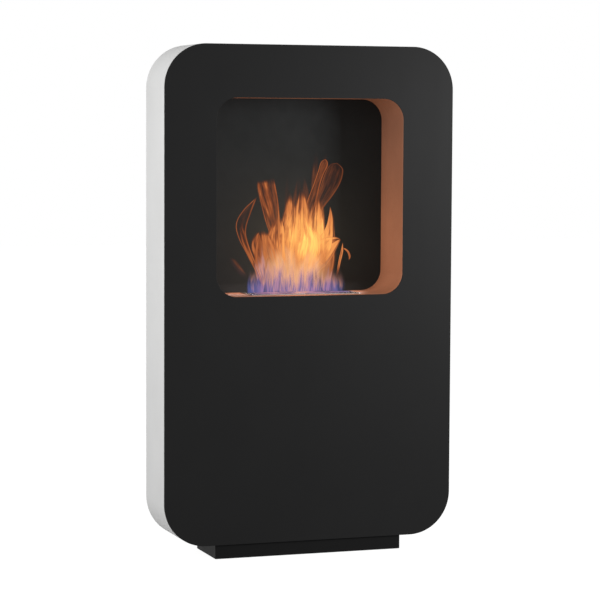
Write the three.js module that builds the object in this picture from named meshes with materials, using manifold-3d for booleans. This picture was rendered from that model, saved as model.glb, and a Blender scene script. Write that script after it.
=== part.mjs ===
// A slim free-standing bioethanol fireplace in sheet steel.
// Millimetres, +X to the right, the front faces -Y, +Z up.
// The origin is on the floor under the middle of the housing.
import * as THREE from 'three';
import { mergeVertices } from 'three/addons/utils/BufferGeometryUtils.js';
import Module from 'manifold-3d';

const wasm = await Module();
wasm.setup();

// ---------------------------------------------------------------- driving dimensions

// Clearances
const seatGap = 0.3; // air between two pieces that rest on one another
const slideGap = 0.4; // running gap over and under the shutter
const boltClearance = 0.4; // radial play of a fastener in its hole
const liftClearance = 1; // play of the burner's lip in the hole that it is lifted out of

// Housing
const housingWidth = 620;
const housingHeight = 1012;
const housingDepth = 138; // front panel's face to rear cover's face
const housingCornerRadius = 88;
const frontSheet = 2;
const frontEdgeBreak = 0.4;
const bandSheet = 1.5;
const bandBendRadius = 2;
const bandFlangeWidth = 18;
const coverSheet = 1.5;
const coverInset = 1; // how far the cover's edge stays inside the band's outline

// Opening and firebox
const openingWidth = 402;
const openingHeight = 401;
const openingCornerRadius = 44;
const openingTopMargin = 107; // top of the housing down to the opening
const fireboxDepth = 127; // front panel's face to the fire back
const linerSheet = 1.5;
const linerBendRadius = 2.5;
const linerFrontFlange = 18;
const linerBackFlange = 14;
const fireBackSheet = 2;
const shieldSheet = 1;
const shieldBendRadius = 4;
const shieldAirGap = 2.6; // between the fire back and its shield
const roofAirGap = 20; // between the liner's roof and the shield over it
const shieldSetback = 14; // front edge of the shield's roof behind the front panel

// Plinth
const plinthHeight = 30; // floor to the underside of the housing
const plinthWidth = 402;
const plinthSetback = 4; // behind the front panel's face, and in front of the rear cover's
const plinthSheet = 2;
const plinthCornerRadius = 2;
const plinthFloorGap = 1.5; // under the skirt
const ballastThickness = 10;
const ballastMargin = 4; // between the ballast and the skirt
const basePlateMargin = 2; // between the base plate and the band's flanges and corners
const basePlateThickness = 3;
const footRadius = 14;
const footFlare = 3; // how much wider the foot is at its top
const footStemRadius = 3;
const footInset = 24; // foot's centre from the edges of the ballast plate

// Burner
const burnerLength = 236;
const burnerWidth = 80;
const burnerSheet = 1.5;
const burnerCornerRadius = 3;
const tankLength = 216;
const tankWidth = 62;
const tankDepth = 54;
const tankSheet = 1;
const tankCornerRadius = 6;
const tankLip = 4;
const slotLength = 200;
const slotWidth = 28;
const slotSetback = 13.5; // front edge of the slot behind the front edge of the burner
const slotCornerRadius = 5;
const woolHeight = 38;
const woolMargin = 1; // between the wool and the tank's walls
const retainerSheet = 0.8;
const retainerHole = 11;
const retainerBar = 5;
const trayClearance = 5; // under and round the tank
const traySheet = 1;
const trayFlange = 12;

// Shutter
const shutterSheet = 1;
const shutterOverlap = 1.5; // past each long edge of the slot when closed
const shutterTravel = 24;
const shutterEndPlay = 1.5; // between the shutter's ends and its guides
const tabWidth = 22;
const tabHeight = 9;
const tabSetback = 3; // behind the shutter's leading edge
const tabHoleRadius = 2.5;
const tabCornerRadius = 3;
const guideSheet = 1;
const guideShelf = 9;
const guideBendRadius = 2;
const guideHeight = 11;

// Rails
const hangerSheet = 2;
const hangerLength = 430;
const hangerHeight = 70;
const hangerFold = 16;
const hangerTopGap = 1; // between the hanger plate and the band over it
const keyholeSpacing = 360;
const keyholeHeadRadius = 7;
const keyholeSlotRadius = 3.5;
const keyholeRise = 14;
const keyholeTopMargin = 42; // top of the housing down to the keyhole's head
const windowMargin = 3; // round the keyhole, in the rear cover
const railSheet = 1.5;
const railHeight = 40;
const railDepth = 22;
const railBendRadius = 3;
const railEndGap = 1; // between the rail's ends and the band

// Vents in the rear cover
const ventCount = 15;
const ventPitch = 20;
const ventWidth = 6;
const ventLength = 50;
const lowerVentHeight = 80; // above the underside of the housing
const upperVentMargin = 145; // top of the housing down to the middle of the upper row

// Fasteners
const panelStudRows = 4;
const studRadius = 2.5;
const studLength = 9;
const nutAcrossFlats = 8;
const nutHeight = 4;
const coverScrewRadius = 2;
const coverScrewHead = 3.7;
const coverScrewHeadDepth = 1.3;
const coverScrewLength = 9;
const coverLowestScrew = 110; // above the underside of the housing
const hangerEndMargin = 15; // end of the hanger plate to its outer screws
const shieldScrewRadius = 2;
const shieldScrewHead = 3.6;
const shieldScrewHeadHeight = 2;
const shieldScrewTip = 2; // past the liner's flange
const shieldBossTip = 4;
const shieldBossBase = 7;
const boltRadius = 4;
const boltFlangeRadius = 9;
const boltFlangeHeight = 1.6;
const boltAcrossFlats = 13;
const boltHeadHeight = 6.4;
const boltSpacingX = 280;
const boltSpacingY = 70;
const tipSetback = 1; // end of a bolt or stem inside the face that it reaches for
const patternMargin = 6; // from the end of a straight side to its last fastener

// Facets
const cornerFacets = 10;
const bendFacets = 2;
const holeFacets = 12;
const smallFacets = 8;
const slotEndFacets = 4;

// ---------------------------------------------------------------- places worked out from them

const panelFrontY = -housingDepth / 2;
const panelBackY = panelFrontY + frontSheet;
const bandFrontY = panelBackY + seatGap;
const coverBackY = housingDepth / 2;
const coverFrontY = coverBackY - coverSheet;
const bandBackY = coverFrontY - seatGap;
const bandMidY = (bandFrontY + bandBackY) / 2;
const railBackY = bandBackY - bandSheet - seatGap;

const housingBottomZ = plinthHeight;
const housingTopZ = housingBottomZ + housingHeight;
const housingMidZ = (housingBottomZ + housingTopZ) / 2;
const openingTopZ = housingTopZ - openingTopMargin;
const openingBottomZ = openingTopZ - openingHeight;
const openingMidZ = (openingTopZ + openingBottomZ) / 2;

const fireBackFrontY = panelFrontY + fireboxDepth;
const fireBackBackY = fireBackFrontY + fireBackSheet;
const linerFrontY = panelBackY + seatGap;
const linerBackY = fireBackFrontY - seatGap;
const shieldFrontY = fireBackBackY + shieldAirGap;
const shieldBackY = shieldFrontY + shieldSheet;
const linerFloorBottomZ = openingBottomZ - linerSheet;

const burnerMidY = (panelBackY + fireBackFrontY) / 2;
const burnerBottomZ = openingBottomZ + seatGap;
const tankTopZ = burnerBottomZ - seatGap;
const tankBottomZ = tankTopZ - tankDepth;
const tankFloorZ = tankBottomZ + tankSheet;
const slotFrontY = burnerMidY - burnerWidth / 2 + slotSetback;
const slotMidY = slotFrontY + slotWidth / 2;
const tankInnerLength = tankLength - 2 * tankSheet;
const tankInnerWidth = tankWidth - 2 * tankSheet;
const burnerHoleLength = tankLength + 2 * (tankLip + liftClearance);
const burnerHoleWidth = tankWidth + 2 * (tankLip + liftClearance);

const plinthTopZ = plinthHeight - seatGap;
const plinthDepth = housingDepth - 2 * plinthSetback;
const ballastTopZ = plinthTopZ - plinthSheet - seatGap;
const ballastBottomZ = ballastTopZ - ballastThickness;
const ballastWidth = plinthWidth - 2 * (plinthSheet + ballastMargin);
const ballastDepth = plinthDepth - 2 * (plinthSheet + ballastMargin);
const basePlateBottomZ = housingBottomZ + bandSheet + seatGap;
const basePlateTopZ = basePlateBottomZ + basePlateThickness;
const boltSeatZ = basePlateTopZ + seatGap;
const basePlateWidth = housingWidth - 2 * (housingCornerRadius + basePlateMargin);
const basePlateDepth = bandBackY - bandFrontY - 2 * (bandSheet + basePlateMargin);

const railTopZ = openingBottomZ - linerBackFlange - seatGap;
const railMidZ = railTopZ - railHeight / 2;

// ---------------------------------------------------------------- materials

const steel = (color, roughness, metalness) =>
  new THREE.MeshStandardMaterial({ color, roughness, metalness });
const satinBlack = () => steel(0x232323, 0.5, 0.2);
const lightGreyPaint = () => steel(0xdcdcda, 0.45, 0.1);
const copperBrown = () => steel(0x8a5540, 0.42, 0.5);
const stoveBlack = () => steel(0x2b2b2b, 0.6, 0.2);
const darkGreyPaint = () => steel(0x3c3d3e, 0.6, 0.3);
const galvanised = () => steel(0x9a9fa1, 0.45, 0.8);
const stainless = () => steel(0xc9c9c6, 0.3, 0.95);
const zincScrew = () => steel(0xb3b3ae, 0.35, 0.9);
const rawSteel = () => steel(0x6f7072, 0.55, 0.85);
const ceramicFibre = () => steel(0xe9e6dc, 0.95, 0);
const blackRubber = () => steel(0x1a1a1a, 0.85, 0);

// ---------------------------------------------------------------- solids

// Keeps only positions and shares the vertices, so that a geometry is one closed surface.
function closed(geometry) {
  const bare = geometry.index ? geometry.toNonIndexed() : geometry.clone();
  bare.deleteAttribute('normal');
  bare.deleteAttribute('uv');
  return mergeVertices(bare, 1e-5);
}

function toSolid(geometry) {
  const shared = closed(geometry);
  return new wasm.Manifold(new wasm.Mesh({
    numProp: 3,
    vertProperties: new Float32Array(shared.attributes.position.array),
    triVerts: new Uint32Array(shared.index.array),
  }));
}

function toGeometry(solid) {
  const mesh = solid.getMesh();
  const geometry = new THREE.BufferGeometry();
  geometry.setAttribute('position', new THREE.BufferAttribute(mesh.vertProperties, 3));
  geometry.setIndex(new THREE.BufferAttribute(mesh.triVerts, 1));
  return geometry;
}

// The body with every cutter taken out of it.
function cut(body, cutters) {
  return toGeometry(cutters.reduce((solid, cutter) => solid.subtract(toSolid(cutter)), toSolid(body)));
}

// Overlapping pieces of one welded or pressed part, joined into one.
function fuse(parts) {
  return toGeometry(parts.map(toSolid).reduce((all, part) => all.add(part)));
}

// ---------------------------------------------------------------- outlines

function roundedRectangle(width, height, radius, midX = 0, midY = 0, Outline = THREE.Shape) {
  const outline = new Outline();
  const x = width / 2 - radius;
  const y = height / 2 - radius;
  outline.absarc(midX + x, midY + y, radius, 0, Math.PI / 2);
  outline.absarc(midX - x, midY + y, radius, Math.PI / 2, Math.PI);
  outline.absarc(midX - x, midY - y, radius, Math.PI, 1.5 * Math.PI);
  outline.absarc(midX + x, midY - y, radius, 1.5 * Math.PI, 2 * Math.PI);
  outline.closePath();
  return outline;
}

function circle(radius, x = 0, y = 0) {
  const outline = new THREE.Path();
  outline.absarc(x, y, radius, 0, 2 * Math.PI);
  return outline;
}

const toVector = ([u, v]) => new THREE.Vector2(u, v);

// An upright slot with round ends, as a hole in another outline.
function slot(width, height, midX, midY) {
  const radius = width / 2;
  const reach = height / 2 - radius;
  const ends = [
    ...arc(midX, midY + reach, radius, 0, Math.PI, slotEndFacets),
    ...arc(midX, midY - reach, radius, Math.PI, 2 * Math.PI, slotEndFacets),
  ];
  return new THREE.Path(ends.map(toVector));
}

function hexagon(acrossFlats) {
  const corner = acrossFlats / Math.sqrt(3);
  const points = [0, 1, 2, 3, 4, 5].map((i) => {
    const angle = (i * Math.PI) / 3;
    return new THREE.Vector2(corner * Math.cos(angle), corner * Math.sin(angle));
  });
  return new THREE.Shape(points);
}

// A plate that lies flat, from bottomZ upwards, with arcFacets facets on each arc.
function flatPlate(shape, bottomZ, thickness, arcFacets = cornerFacets) {
  const settings = { depth: thickness, bevelEnabled: false, curveSegments: arcFacets / 2 };
  return new THREE.ExtrudeGeometry(shape, settings).translate(0, 0, bottomZ);
}

// A plate that stands upright with its outline in X and Z, from frontY backwards.
function uprightPlate(shape, frontY, thickness, arcFacets = cornerFacets) {
  const settings = { depth: thickness, bevelEnabled: false, curveSegments: arcFacets / 2 };
  const plate = new THREE.ExtrudeGeometry(shape, settings);
  return plate.rotateX(Math.PI / 2).translate(0, frontY + thickness, 0);
}

// A section drawn in Y and Z, run along X and centred on x = 0.
function alongX(points, length) {
  const shape = new THREE.Shape(points.map(toVector));
  const bar = new THREE.ExtrudeGeometry(shape, { depth: length, bevelEnabled: false });
  return bar.translate(0, 0, -length / 2).rotateZ(Math.PI / 2).rotateY(Math.PI / 2);
}

function uprightRod(radius, frontY, length, x = 0, z = 0, facets = holeFacets) {
  const rod = new THREE.CylinderGeometry(radius, radius, length, facets);
  return rod.translate(x, frontY + length / 2, z);
}

function verticalRod(radius, bottomZ, length, x = 0, y = 0, facets = holeFacets) {
  const rod = new THREE.CylinderGeometry(radius, radius, length, facets);
  return rod.rotateX(Math.PI / 2).translate(x, y, bottomZ + length / 2);
}

// A turned piece about the Z axis: points are [radius, z] from the axis out and back to it.
function turned(points, facets = holeFacets) {
  const profile = points.map(toVector);
  return new THREE.LatheGeometry(profile, facets).rotateX(Math.PI / 2);
}

function arc(centreU, centreV, radius, from, to, facets = bendFacets) {
  return Array.from({ length: facets + 1 }, (_, i) => {
    const angle = from + ((to - from) * i) / facets;
    return [centreU + radius * Math.cos(angle), centreV + radius * Math.sin(angle)];
  });
}

// Section of a folded strip: a web with a flange at each end, all turned to +u.
// u is measured from the outside of the web and v along it.
function channelSection(startV, endV, sheet, bend, startFlange, endFlange) {
  const quarter = Math.PI / 2;
  const inner = bend - sheet;
  return [
    ...arc(bend, startV + bend, bend, 2 * quarter, 3 * quarter),
    [startFlange, startV],
    [startFlange, startV + sheet],
    ...arc(bend, startV + bend, inner, 3 * quarter, 2 * quarter),
    ...arc(bend, endV - bend, inner, 2 * quarter, quarter),
    [endFlange, endV - sheet],
    [endFlange, endV],
    ...arc(bend, endV - bend, bend, quarter, 2 * quarter),
  ];
}

// A section of [offset, y] swept round a rounded rectangle that stands upright.
// A positive offset lies inside the outline, a negative one outside it.
function sweptFrame(section, width, height, radius) {
  const stations = [];
  for (let corner = 0; corner < 4; corner += 1) {
    for (let step = 0; step <= cornerFacets; step += 1) {
      const angle = (corner + step / cornerFacets) * (Math.PI / 2);
      const signX = corner === 0 || corner === 3 ? 1 : -1;
      const signZ = corner < 2 ? 1 : -1;
      const centreX = signX * (width / 2 - radius);
      const centreZ = signZ * (height / 2 - radius);
      stations.push({ centreX, centreZ, cos: Math.cos(angle), sin: Math.sin(angle) });
    }
  }
  const positions = [];
  for (const { centreX, centreZ, cos, sin } of stations) {
    for (const [offset, y] of section) {
      positions.push(centreX + (radius - offset) * cos, y, centreZ + (radius - offset) * sin);
    }
  }
  const area = section.reduce((sum, [u, v], i) => {
    const [nextU, nextV] = section[(i + 1) % section.length];
    return sum + u * nextV - nextU * v;
  }, 0);
  const index = [];
  for (let s = 0; s < stations.length; s += 1) {
    for (let p = 0; p < section.length; p += 1) {
      const nextS = (s + 1) % stations.length;
      const nextP = (p + 1) % section.length;
      const here = s * section.length + p;
      const along = nextS * section.length + p;
      const beside = s * section.length + nextP;
      const across = nextS * section.length + nextP;
      if (area > 0) {
        index.push(here, along, beside, beside, along, across);
      } else {
        index.push(here, beside, along, beside, across, along);
      }
    }
  }
  const geometry = new THREE.BufferGeometry();
  geometry.setAttribute('position', new THREE.Float32BufferAttribute(positions, 3));
  geometry.setIndex(index);
  return geometry;
}

// ---------------------------------------------------------------- fasteners and their places

const quarterTurn = Math.PI / 2;
const flangeCentre = (bandBendRadius + bandFlangeWidth) / 2;
const linerFrontCentre = (linerBendRadius + linerFrontFlange) / 2;
const linerBackCentre = (linerBendRadius + linerBackFlange) / 2;

// Evenly spaced values from -half to half.
function spread(half, count) {
  return Array.from({ length: count }, (_, i) => -half + (2 * half * i) / (count - 1));
}

// Places in pairs, left and right of the middle, at each of the heights, as [x, z].
function sidePairs(halfWidth, heights) {
  return heights.flatMap((z) => [-1, 1].map((side) => [side * halfWidth, z]));
}

// The four corners of a rectangle that lies flat, as [x, y].
function cornerPlaces(halfX, halfY) {
  return [-1, 1].flatMap((sideX) => [-1, 1].map((sideY) => [sideX * halfX, sideY * halfY]));
}

const panelStudHalfZ = housingHeight / 2 - housingCornerRadius - patternMargin;
const panelStuds = sidePairs(
  housingWidth / 2 - flangeCentre,
  spread(panelStudHalfZ, panelStudRows).map((z) => housingMidZ + z),
);
const openingPatternZ = spread(openingHeight / 2 - openingCornerRadius - patternMargin, 2)
  .map((z) => openingMidZ + z);
const linerStuds = sidePairs(openingWidth / 2 + linerFrontCentre, openingPatternZ);
const shieldFixings = sidePairs(openingWidth / 2 + linerBackCentre, openingPatternZ);

const coverRowX = spread(hangerLength / 2 - hangerEndMargin, 2);
const coverColumnZ = [housingBottomZ + coverLowestScrew, railMidZ, openingTopZ];
const coverTopFixings = coverRowX.map((x) => [x, housingTopZ - flangeCentre]);
const coverBottomFixings = coverRowX.map((x) => [x, housingBottomZ + flangeCentre]);
const coverSideFixings = sidePairs(housingWidth / 2 - flangeCentre, coverColumnZ);
const coverFixings = [...coverTopFixings, ...coverBottomFixings, ...coverSideFixings];

const trayInnerLength = tankLength + 2 * trayClearance;
const trayInnerWidth = tankWidth + 2 * trayClearance;
const trayStudX = trayInnerLength / 2 + traySheet + trayFlange / 2;
const trayStuds = [-1, 1].map((side) => [side * trayStudX, burnerMidY]);
const trayTopZ = linerFloorBottomZ - seatGap;

const plinthBoltPlaces = cornerPlaces(boltSpacingX / 2, boltSpacingY / 2);
const footPlaces = cornerPlaces(ballastWidth / 2 - footInset, ballastDepth / 2 - footInset);

// The hole for a fastener that runs along Y, through a sheet whose front face is at frontY.
function uprightHoles(places, radius, frontY, sheet, facets = smallFacets) {
  return places.map(([x, z]) => uprightRod(radius, frontY - 1, sheet + 2, x, z, facets));
}

function verticalHoles(places, radius, bottomZ, thickness) {
  return places.map(([x, y]) => verticalRod(radius, bottomZ - 1, thickness + 2, x, y));
}

function hexNut() {
  const outline = hexagon(nutAcrossFlats);
  outline.holes.push(circle(studRadius + boltClearance));
  return flatPlate(outline, 0, nutHeight, smallFacets);
}

// The same nut turned onto a stud that points to +Y, its front face at y = 0.
function uprightNut() {
  return hexNut().rotateX(quarterTurn).translate(0, nutHeight, 0);
}

// A piece turned about the Y axis: points are [radius, y], from the axis out and back to it.
function turnedUpright(points, facets = smallFacets) {
  const profile = points.map(toVector);
  return new THREE.LatheGeometry(profile, facets);
}

// ---------------------------------------------------------------- housing

function frontPanel() {
  const outline = roundedRectangle(housingWidth, housingHeight, housingCornerRadius, 0, housingMidZ);
  outline.holes.push(roundedRectangle(
    openingWidth, openingHeight, openingCornerRadius, 0, openingMidZ, THREE.Path,
  ));
  const plate = new THREE.ExtrudeGeometry(outline, {
    depth: frontSheet - 2 * frontEdgeBreak,
    bevelThickness: frontEdgeBreak,
    bevelSize: frontEdgeBreak,
    bevelOffset: -frontEdgeBreak,
    bevelSegments: 1,
    curveSegments: cornerFacets / 2,
  });
  plate.rotateX(quarterTurn).translate(0, panelBackY - frontEdgeBreak, 0);
  const studStartY = panelBackY - frontSheet / 2;
  const studs = [...panelStuds, ...linerStuds].map(([x, z]) =>
    uprightRod(studRadius, studStartY, panelBackY + studLength - studStartY, x, z, smallFacets));
  return fuse([plate, ...studs]);
}

function sideBand() {
  const section = channelSection(
    bandFrontY, bandBackY, bandSheet, bandBendRadius, bandFlangeWidth, bandFlangeWidth,
  );
  const frame = sweptFrame(section, housingWidth, housingHeight, housingCornerRadius)
    .translate(0, 0, housingMidZ);
  return cut(frame, [
    ...uprightHoles(panelStuds, studRadius + boltClearance, bandFrontY, bandSheet),
    ...uprightHoles(coverFixings, coverScrewRadius + boltClearance, bandBackY - bandSheet, bandSheet),
    ...verticalHoles(plinthBoltPlaces, boltRadius + boltClearance, housingBottomZ, bandSheet),
  ]);
}

function rearCover() {
  const outline = roundedRectangle(
    housingWidth - 2 * coverInset,
    housingHeight - 2 * coverInset,
    housingCornerRadius - coverInset,
    0,
    housingMidZ,
  );
  const ventRows = [housingBottomZ + lowerVentHeight, housingTopZ - upperVentMargin];
  const ventX = spread(((ventCount - 1) * ventPitch) / 2, ventCount);
  for (const x of ventX) {
    outline.holes.push(...ventRows.map((z) => slot(ventWidth, ventLength, x, z)));
  }
  const windowWidth = 2 * (keyholeHeadRadius + windowMargin);
  for (const side of [-1, 1]) {
    const middleZ = housingTopZ - keyholeTopMargin + keyholeRise / 2;
    outline.holes.push(slot(windowWidth, windowWidth + keyholeRise, (side * keyholeSpacing) / 2, middleZ));
  }
  const plate = uprightPlate(outline, coverFrontY, coverSheet);
  return cut(plate, coverFixings.map(([x, z]) => countersink().translate(x, coverBackY, z)));
}

// The space that a rear cover screw takes out of the cover, from its back face forwards.
function countersink() {
  const clearance = coverScrewRadius + boltClearance;
  return turnedUpright([
    [0, -coverSheet - 1],
    [clearance, -coverSheet - 1],
    [clearance, -coverScrewHeadDepth],
    [coverScrewHead + boltClearance, 0],
    [coverScrewHead + boltClearance, 1],
    [0, 1],
  ]);
}

function rearCoverScrew() {
  return turnedUpright([
    [0, -coverScrewLength],
    [coverScrewRadius, -coverScrewLength],
    [coverScrewRadius, -coverScrewHeadDepth],
    [coverScrewHead, 0],
    [0, 0],
  ]);
}

// A strip across the top of the back, folded forwards at its lower edge, with two keyholes.
function hangerPlate() {
  const topZ = housingTopZ - bandSheet - hangerTopGap;
  const bottomZ = topZ - hangerHeight;
  const frontY = railBackY - hangerSheet;
  const outer = railBendRadius;
  const section = [
    [frontY, topZ],
    ...arc(railBackY - outer, bottomZ + outer, outer - hangerSheet, 0, -quarterTurn),
    [railBackY - hangerFold, bottomZ + hangerSheet],
    [railBackY - hangerFold, bottomZ],
    ...arc(railBackY - outer, bottomZ + outer, outer, -quarterTurn, 0),
    [railBackY, topZ],
  ];
  const headZ = housingTopZ - keyholeTopMargin;
  const keyholes = [-1, 1].flatMap((side) => {
    const x = (side * keyholeSpacing) / 2;
    const neck = new THREE.BoxGeometry(2 * keyholeSlotRadius, hangerSheet + 2, keyholeRise);
    return [
      ...uprightHoles([[x, headZ]], keyholeHeadRadius, frontY, hangerSheet, holeFacets),
      ...uprightHoles([[x, headZ + keyholeRise]], keyholeSlotRadius, frontY, hangerSheet, holeFacets),
      neck.translate(x, frontY + hangerSheet / 2, headZ + keyholeRise / 2),
    ];
  });
  const screwHoles = uprightHoles(
    coverTopFixings, coverScrewRadius + boltClearance, frontY, hangerSheet,
  );
  return cut(alongX(section, hangerLength), [...keyholes, ...screwHoles]);
}

// A channel across the back that the rear of the firebox stands on.
function crossRail() {
  const webFirst = channelSection(
    railTopZ - railHeight, railTopZ, railSheet, railBendRadius, railDepth, railDepth,
  );
  const section = webFirst.map(([u, z]) => [railBackY - u, z]);
  const length = housingWidth - 2 * (bandSheet + railEndGap);
  const holes = coverSideFixings.filter(([, z]) => z === railMidZ);
  return cut(
    alongX(section, length),
    uprightHoles(holes, coverScrewRadius + boltClearance, railBackY - railSheet, railSheet),
  );
}

// ---------------------------------------------------------------- firebox

function fireboxLiner() {
  const section = channelSection(
    linerFrontY, linerBackY, linerSheet, linerBendRadius, linerFrontFlange, linerBackFlange,
  ).map(([u, y]) => [-u, y]);
  const frame = sweptFrame(section, openingWidth, openingHeight, openingCornerRadius)
    .translate(0, 0, openingMidZ);
  const burnerHole = flatPlate(
    roundedRectangle(burnerHoleLength, burnerHoleWidth, tankCornerRadius + tankLip, 0, burnerMidY),
    linerFloorBottomZ - 1,
    linerSheet + 2,
    smallFacets / 2,
  );
  const sheet = cut(frame, [
    burnerHole,
    ...uprightHoles(linerStuds, studRadius + boltClearance, linerFrontY, linerSheet),
    ...uprightHoles(shieldFixings, shieldScrewRadius + boltClearance, linerBackY - linerSheet, linerSheet),
  ]);
  const studBottomZ = trayTopZ - studLength;
  const weldedLength = linerFloorBottomZ + linerSheet / 2 - studBottomZ;
  const studs = trayStuds.map(([x, y]) =>
    verticalRod(studRadius, studBottomZ, weldedLength, x, y, smallFacets));
  return fuse([sheet, ...studs]);
}

const fireBackWidth = openingWidth + 2 * linerBackFlange;

function fireBack() {
  const outline = roundedRectangle(
    fireBackWidth,
    openingHeight + 2 * linerBackFlange,
    openingCornerRadius + linerBackFlange,
    0,
    openingMidZ,
  );
  return cut(
    uprightPlate(outline, fireBackFrontY, fireBackSheet),
    uprightHoles(shieldFixings, shieldScrewRadius + boltClearance, fireBackFrontY, fireBackSheet),
  );
}

// A thin sheet behind the fire back, folded forwards over the firebox roof.
// Pressed bosses at its screws keep it off the fire back.
function heatShield() {
  const bottomZ = openingBottomZ - linerBackFlange;
  const topZ = openingTopZ + linerSheet + roofAirGap + shieldSheet;
  const roofFrontY = panelFrontY + shieldSetback;
  const bendY = shieldBackY - shieldBendRadius;
  const bendZ = topZ - shieldBendRadius;
  const section = [
    [shieldFrontY, bottomZ],
    [shieldBackY, bottomZ],
    ...arc(bendY, bendZ, shieldBendRadius, 0, quarterTurn),
    [roofFrontY, topZ],
    [roofFrontY, topZ - shieldSheet],
    ...arc(bendY, bendZ, shieldBendRadius - shieldSheet, quarterTurn, 0),
  ];
  const bossY = fireBackBackY + seatGap;
  const bossLength = shieldFrontY + shieldSheet / 2 - bossY;
  const bosses = shieldFixings.map(([x, z]) =>
    new THREE.CylinderGeometry(shieldBossBase, shieldBossTip, bossLength, holeFacets)
      .translate(x, bossY + bossLength / 2, z));
  return cut(
    fuse([alongX(section, fireBackWidth), ...bosses]),
    uprightHoles(shieldFixings, shieldScrewRadius + boltClearance, bossY, shieldBackY - bossY),
  );
}

function shieldScrew() {
  const tipY = linerBackY - linerSheet - shieldScrewTip - shieldBackY - seatGap;
  return turnedUpright([
    [0, tipY],
    [shieldScrewRadius, tipY],
    [shieldScrewRadius, 0],
    [shieldScrewHead, 0],
    [shieldScrewHead, shieldScrewHeadHeight / 2],
    [shieldScrewHead / 2, shieldScrewHeadHeight],
    [0, shieldScrewHeadHeight],
  ]);
}

// ---------------------------------------------------------------- burner

function rectangleAtBurner(length, width, radius) {
  return roundedRectangle(length, width, radius, 0, burnerMidY);
}

function overflowTray() {
  const depth = tankDepth + trayClearance;
  const outerRadius = tankCornerRadius + trayClearance + traySheet;
  const outer = flatPlate(
    rectangleAtBurner(trayInnerLength + 2 * traySheet, trayInnerWidth + 2 * traySheet, outerRadius),
    trayTopZ - depth - traySheet,
    depth + traySheet,
    smallFacets / 2,
  );
  const rim = 2 * (traySheet + trayFlange);
  const flange = flatPlate(
    rectangleAtBurner(trayInnerLength + rim, trayInnerWidth + rim, outerRadius),
    trayTopZ - traySheet,
    traySheet,
    smallFacets / 2,
  );
  const inside = flatPlate(
    rectangleAtBurner(trayInnerLength, trayInnerWidth, outerRadius - traySheet),
    trayTopZ - depth,
    depth + 1,
    smallFacets / 2,
  );
  return cut(fuse([outer, flange]), [
    inside,
    ...verticalHoles(trayStuds, studRadius + boltClearance, trayTopZ - traySheet, traySheet),
  ]);
}

function burnerTank() {
  const body = flatPlate(
    rectangleAtBurner(tankLength, tankWidth, tankCornerRadius), tankBottomZ, tankDepth,
  );
  const lip = flatPlate(
    rectangleAtBurner(tankLength + 2 * tankLip, tankWidth + 2 * tankLip, tankCornerRadius + tankLip),
    tankTopZ - tankSheet,
    tankSheet,
  );
  const inside = flatPlate(
    rectangleAtBurner(tankInnerLength, tankInnerWidth, tankCornerRadius - tankSheet),
    tankFloorZ,
    tankDepth,
  );
  return cut(fuse([body, lip]), [inside]);
}

function burnerTopPlate() {
  const outline = rectangleAtBurner(burnerLength, burnerWidth, burnerCornerRadius);
  outline.holes.push(roundedRectangle(
    slotLength, slotWidth, slotCornerRadius, 0, slotMidY, THREE.Path,
  ));
  return flatPlate(outline, burnerBottomZ, burnerSheet);
}

const woolBottomZ = tankFloorZ + seatGap;
const woolLength = tankInnerLength - 2 * woolMargin;
const woolWidth = tankInnerWidth - 2 * woolMargin;

function ceramicWool() {
  const radius = tankCornerRadius - tankSheet;
  return flatPlate(rectangleAtBurner(woolLength, woolWidth, radius), woolBottomZ, woolHeight);
}

// A punched sheet that keeps the wool down.
function woolRetainer() {
  const bottomZ = woolBottomZ + woolHeight + seatGap;
  const outline = rectangleAtBurner(woolLength, woolWidth, tankCornerRadius - tankSheet);
  const pitch = retainerHole + retainerBar;
  const columns = Math.floor((woolLength - retainerBar) / pitch);
  const rows = Math.floor((woolWidth - retainerBar) / pitch);
  const holes = spread(((columns - 1) * pitch) / 2, columns).flatMap((x) =>
    spread(((rows - 1) * pitch) / 2, rows).map((y) =>
      new THREE.BoxGeometry(retainerHole, retainerHole, retainerSheet + 2)
        .translate(x, burnerMidY + y, bottomZ)));
  return cut(flatPlate(outline, bottomZ, retainerSheet, bendFacets), holes);
}

const shutterTopZ = burnerBottomZ - slideGap;
const shutterBottomZ = shutterTopZ - shutterSheet;
const shutterWidth = slotWidth + 2 * shutterOverlap;
const shutterFrontY = slotFrontY - shutterOverlap + shutterTravel; // at rest, fully open

// The plate that closes the slot from behind, with the tab that a hook pulls it by.
function shutter() {
  const length = tankInnerLength - 2 * shutterEndPlay;
  const middleY = shutterFrontY + shutterWidth / 2;
  const plate = flatPlate(
    roundedRectangle(length, shutterWidth, burnerCornerRadius, 0, middleY),
    shutterBottomZ,
    shutterSheet,
    smallFacets / 2,
  );
  const tabY = shutterFrontY + tabSetback;
  const tabTopZ = shutterTopZ + tabHeight;
  const half = tabWidth / 2;
  const corner = tabCornerRadius;
  const tabOutline = new THREE.Shape([
    new THREE.Vector2(-half, shutterBottomZ + shutterSheet / 2),
    new THREE.Vector2(half, shutterBottomZ + shutterSheet / 2),
    ...arc(half - corner, tabTopZ - corner, corner, 0, quarterTurn).map(toVector),
    ...arc(corner - half, tabTopZ - corner, corner, quarterTurn, 2 * quarterTurn).map(toVector),
  ]);
  tabOutline.holes.push(circle(tabHoleRadius, 0, shutterTopZ + tabHeight / 2));
  const tab = uprightPlate(tabOutline, tabY, shutterSheet, smallFacets);
  return fuse([plate, tab]);
}

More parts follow.
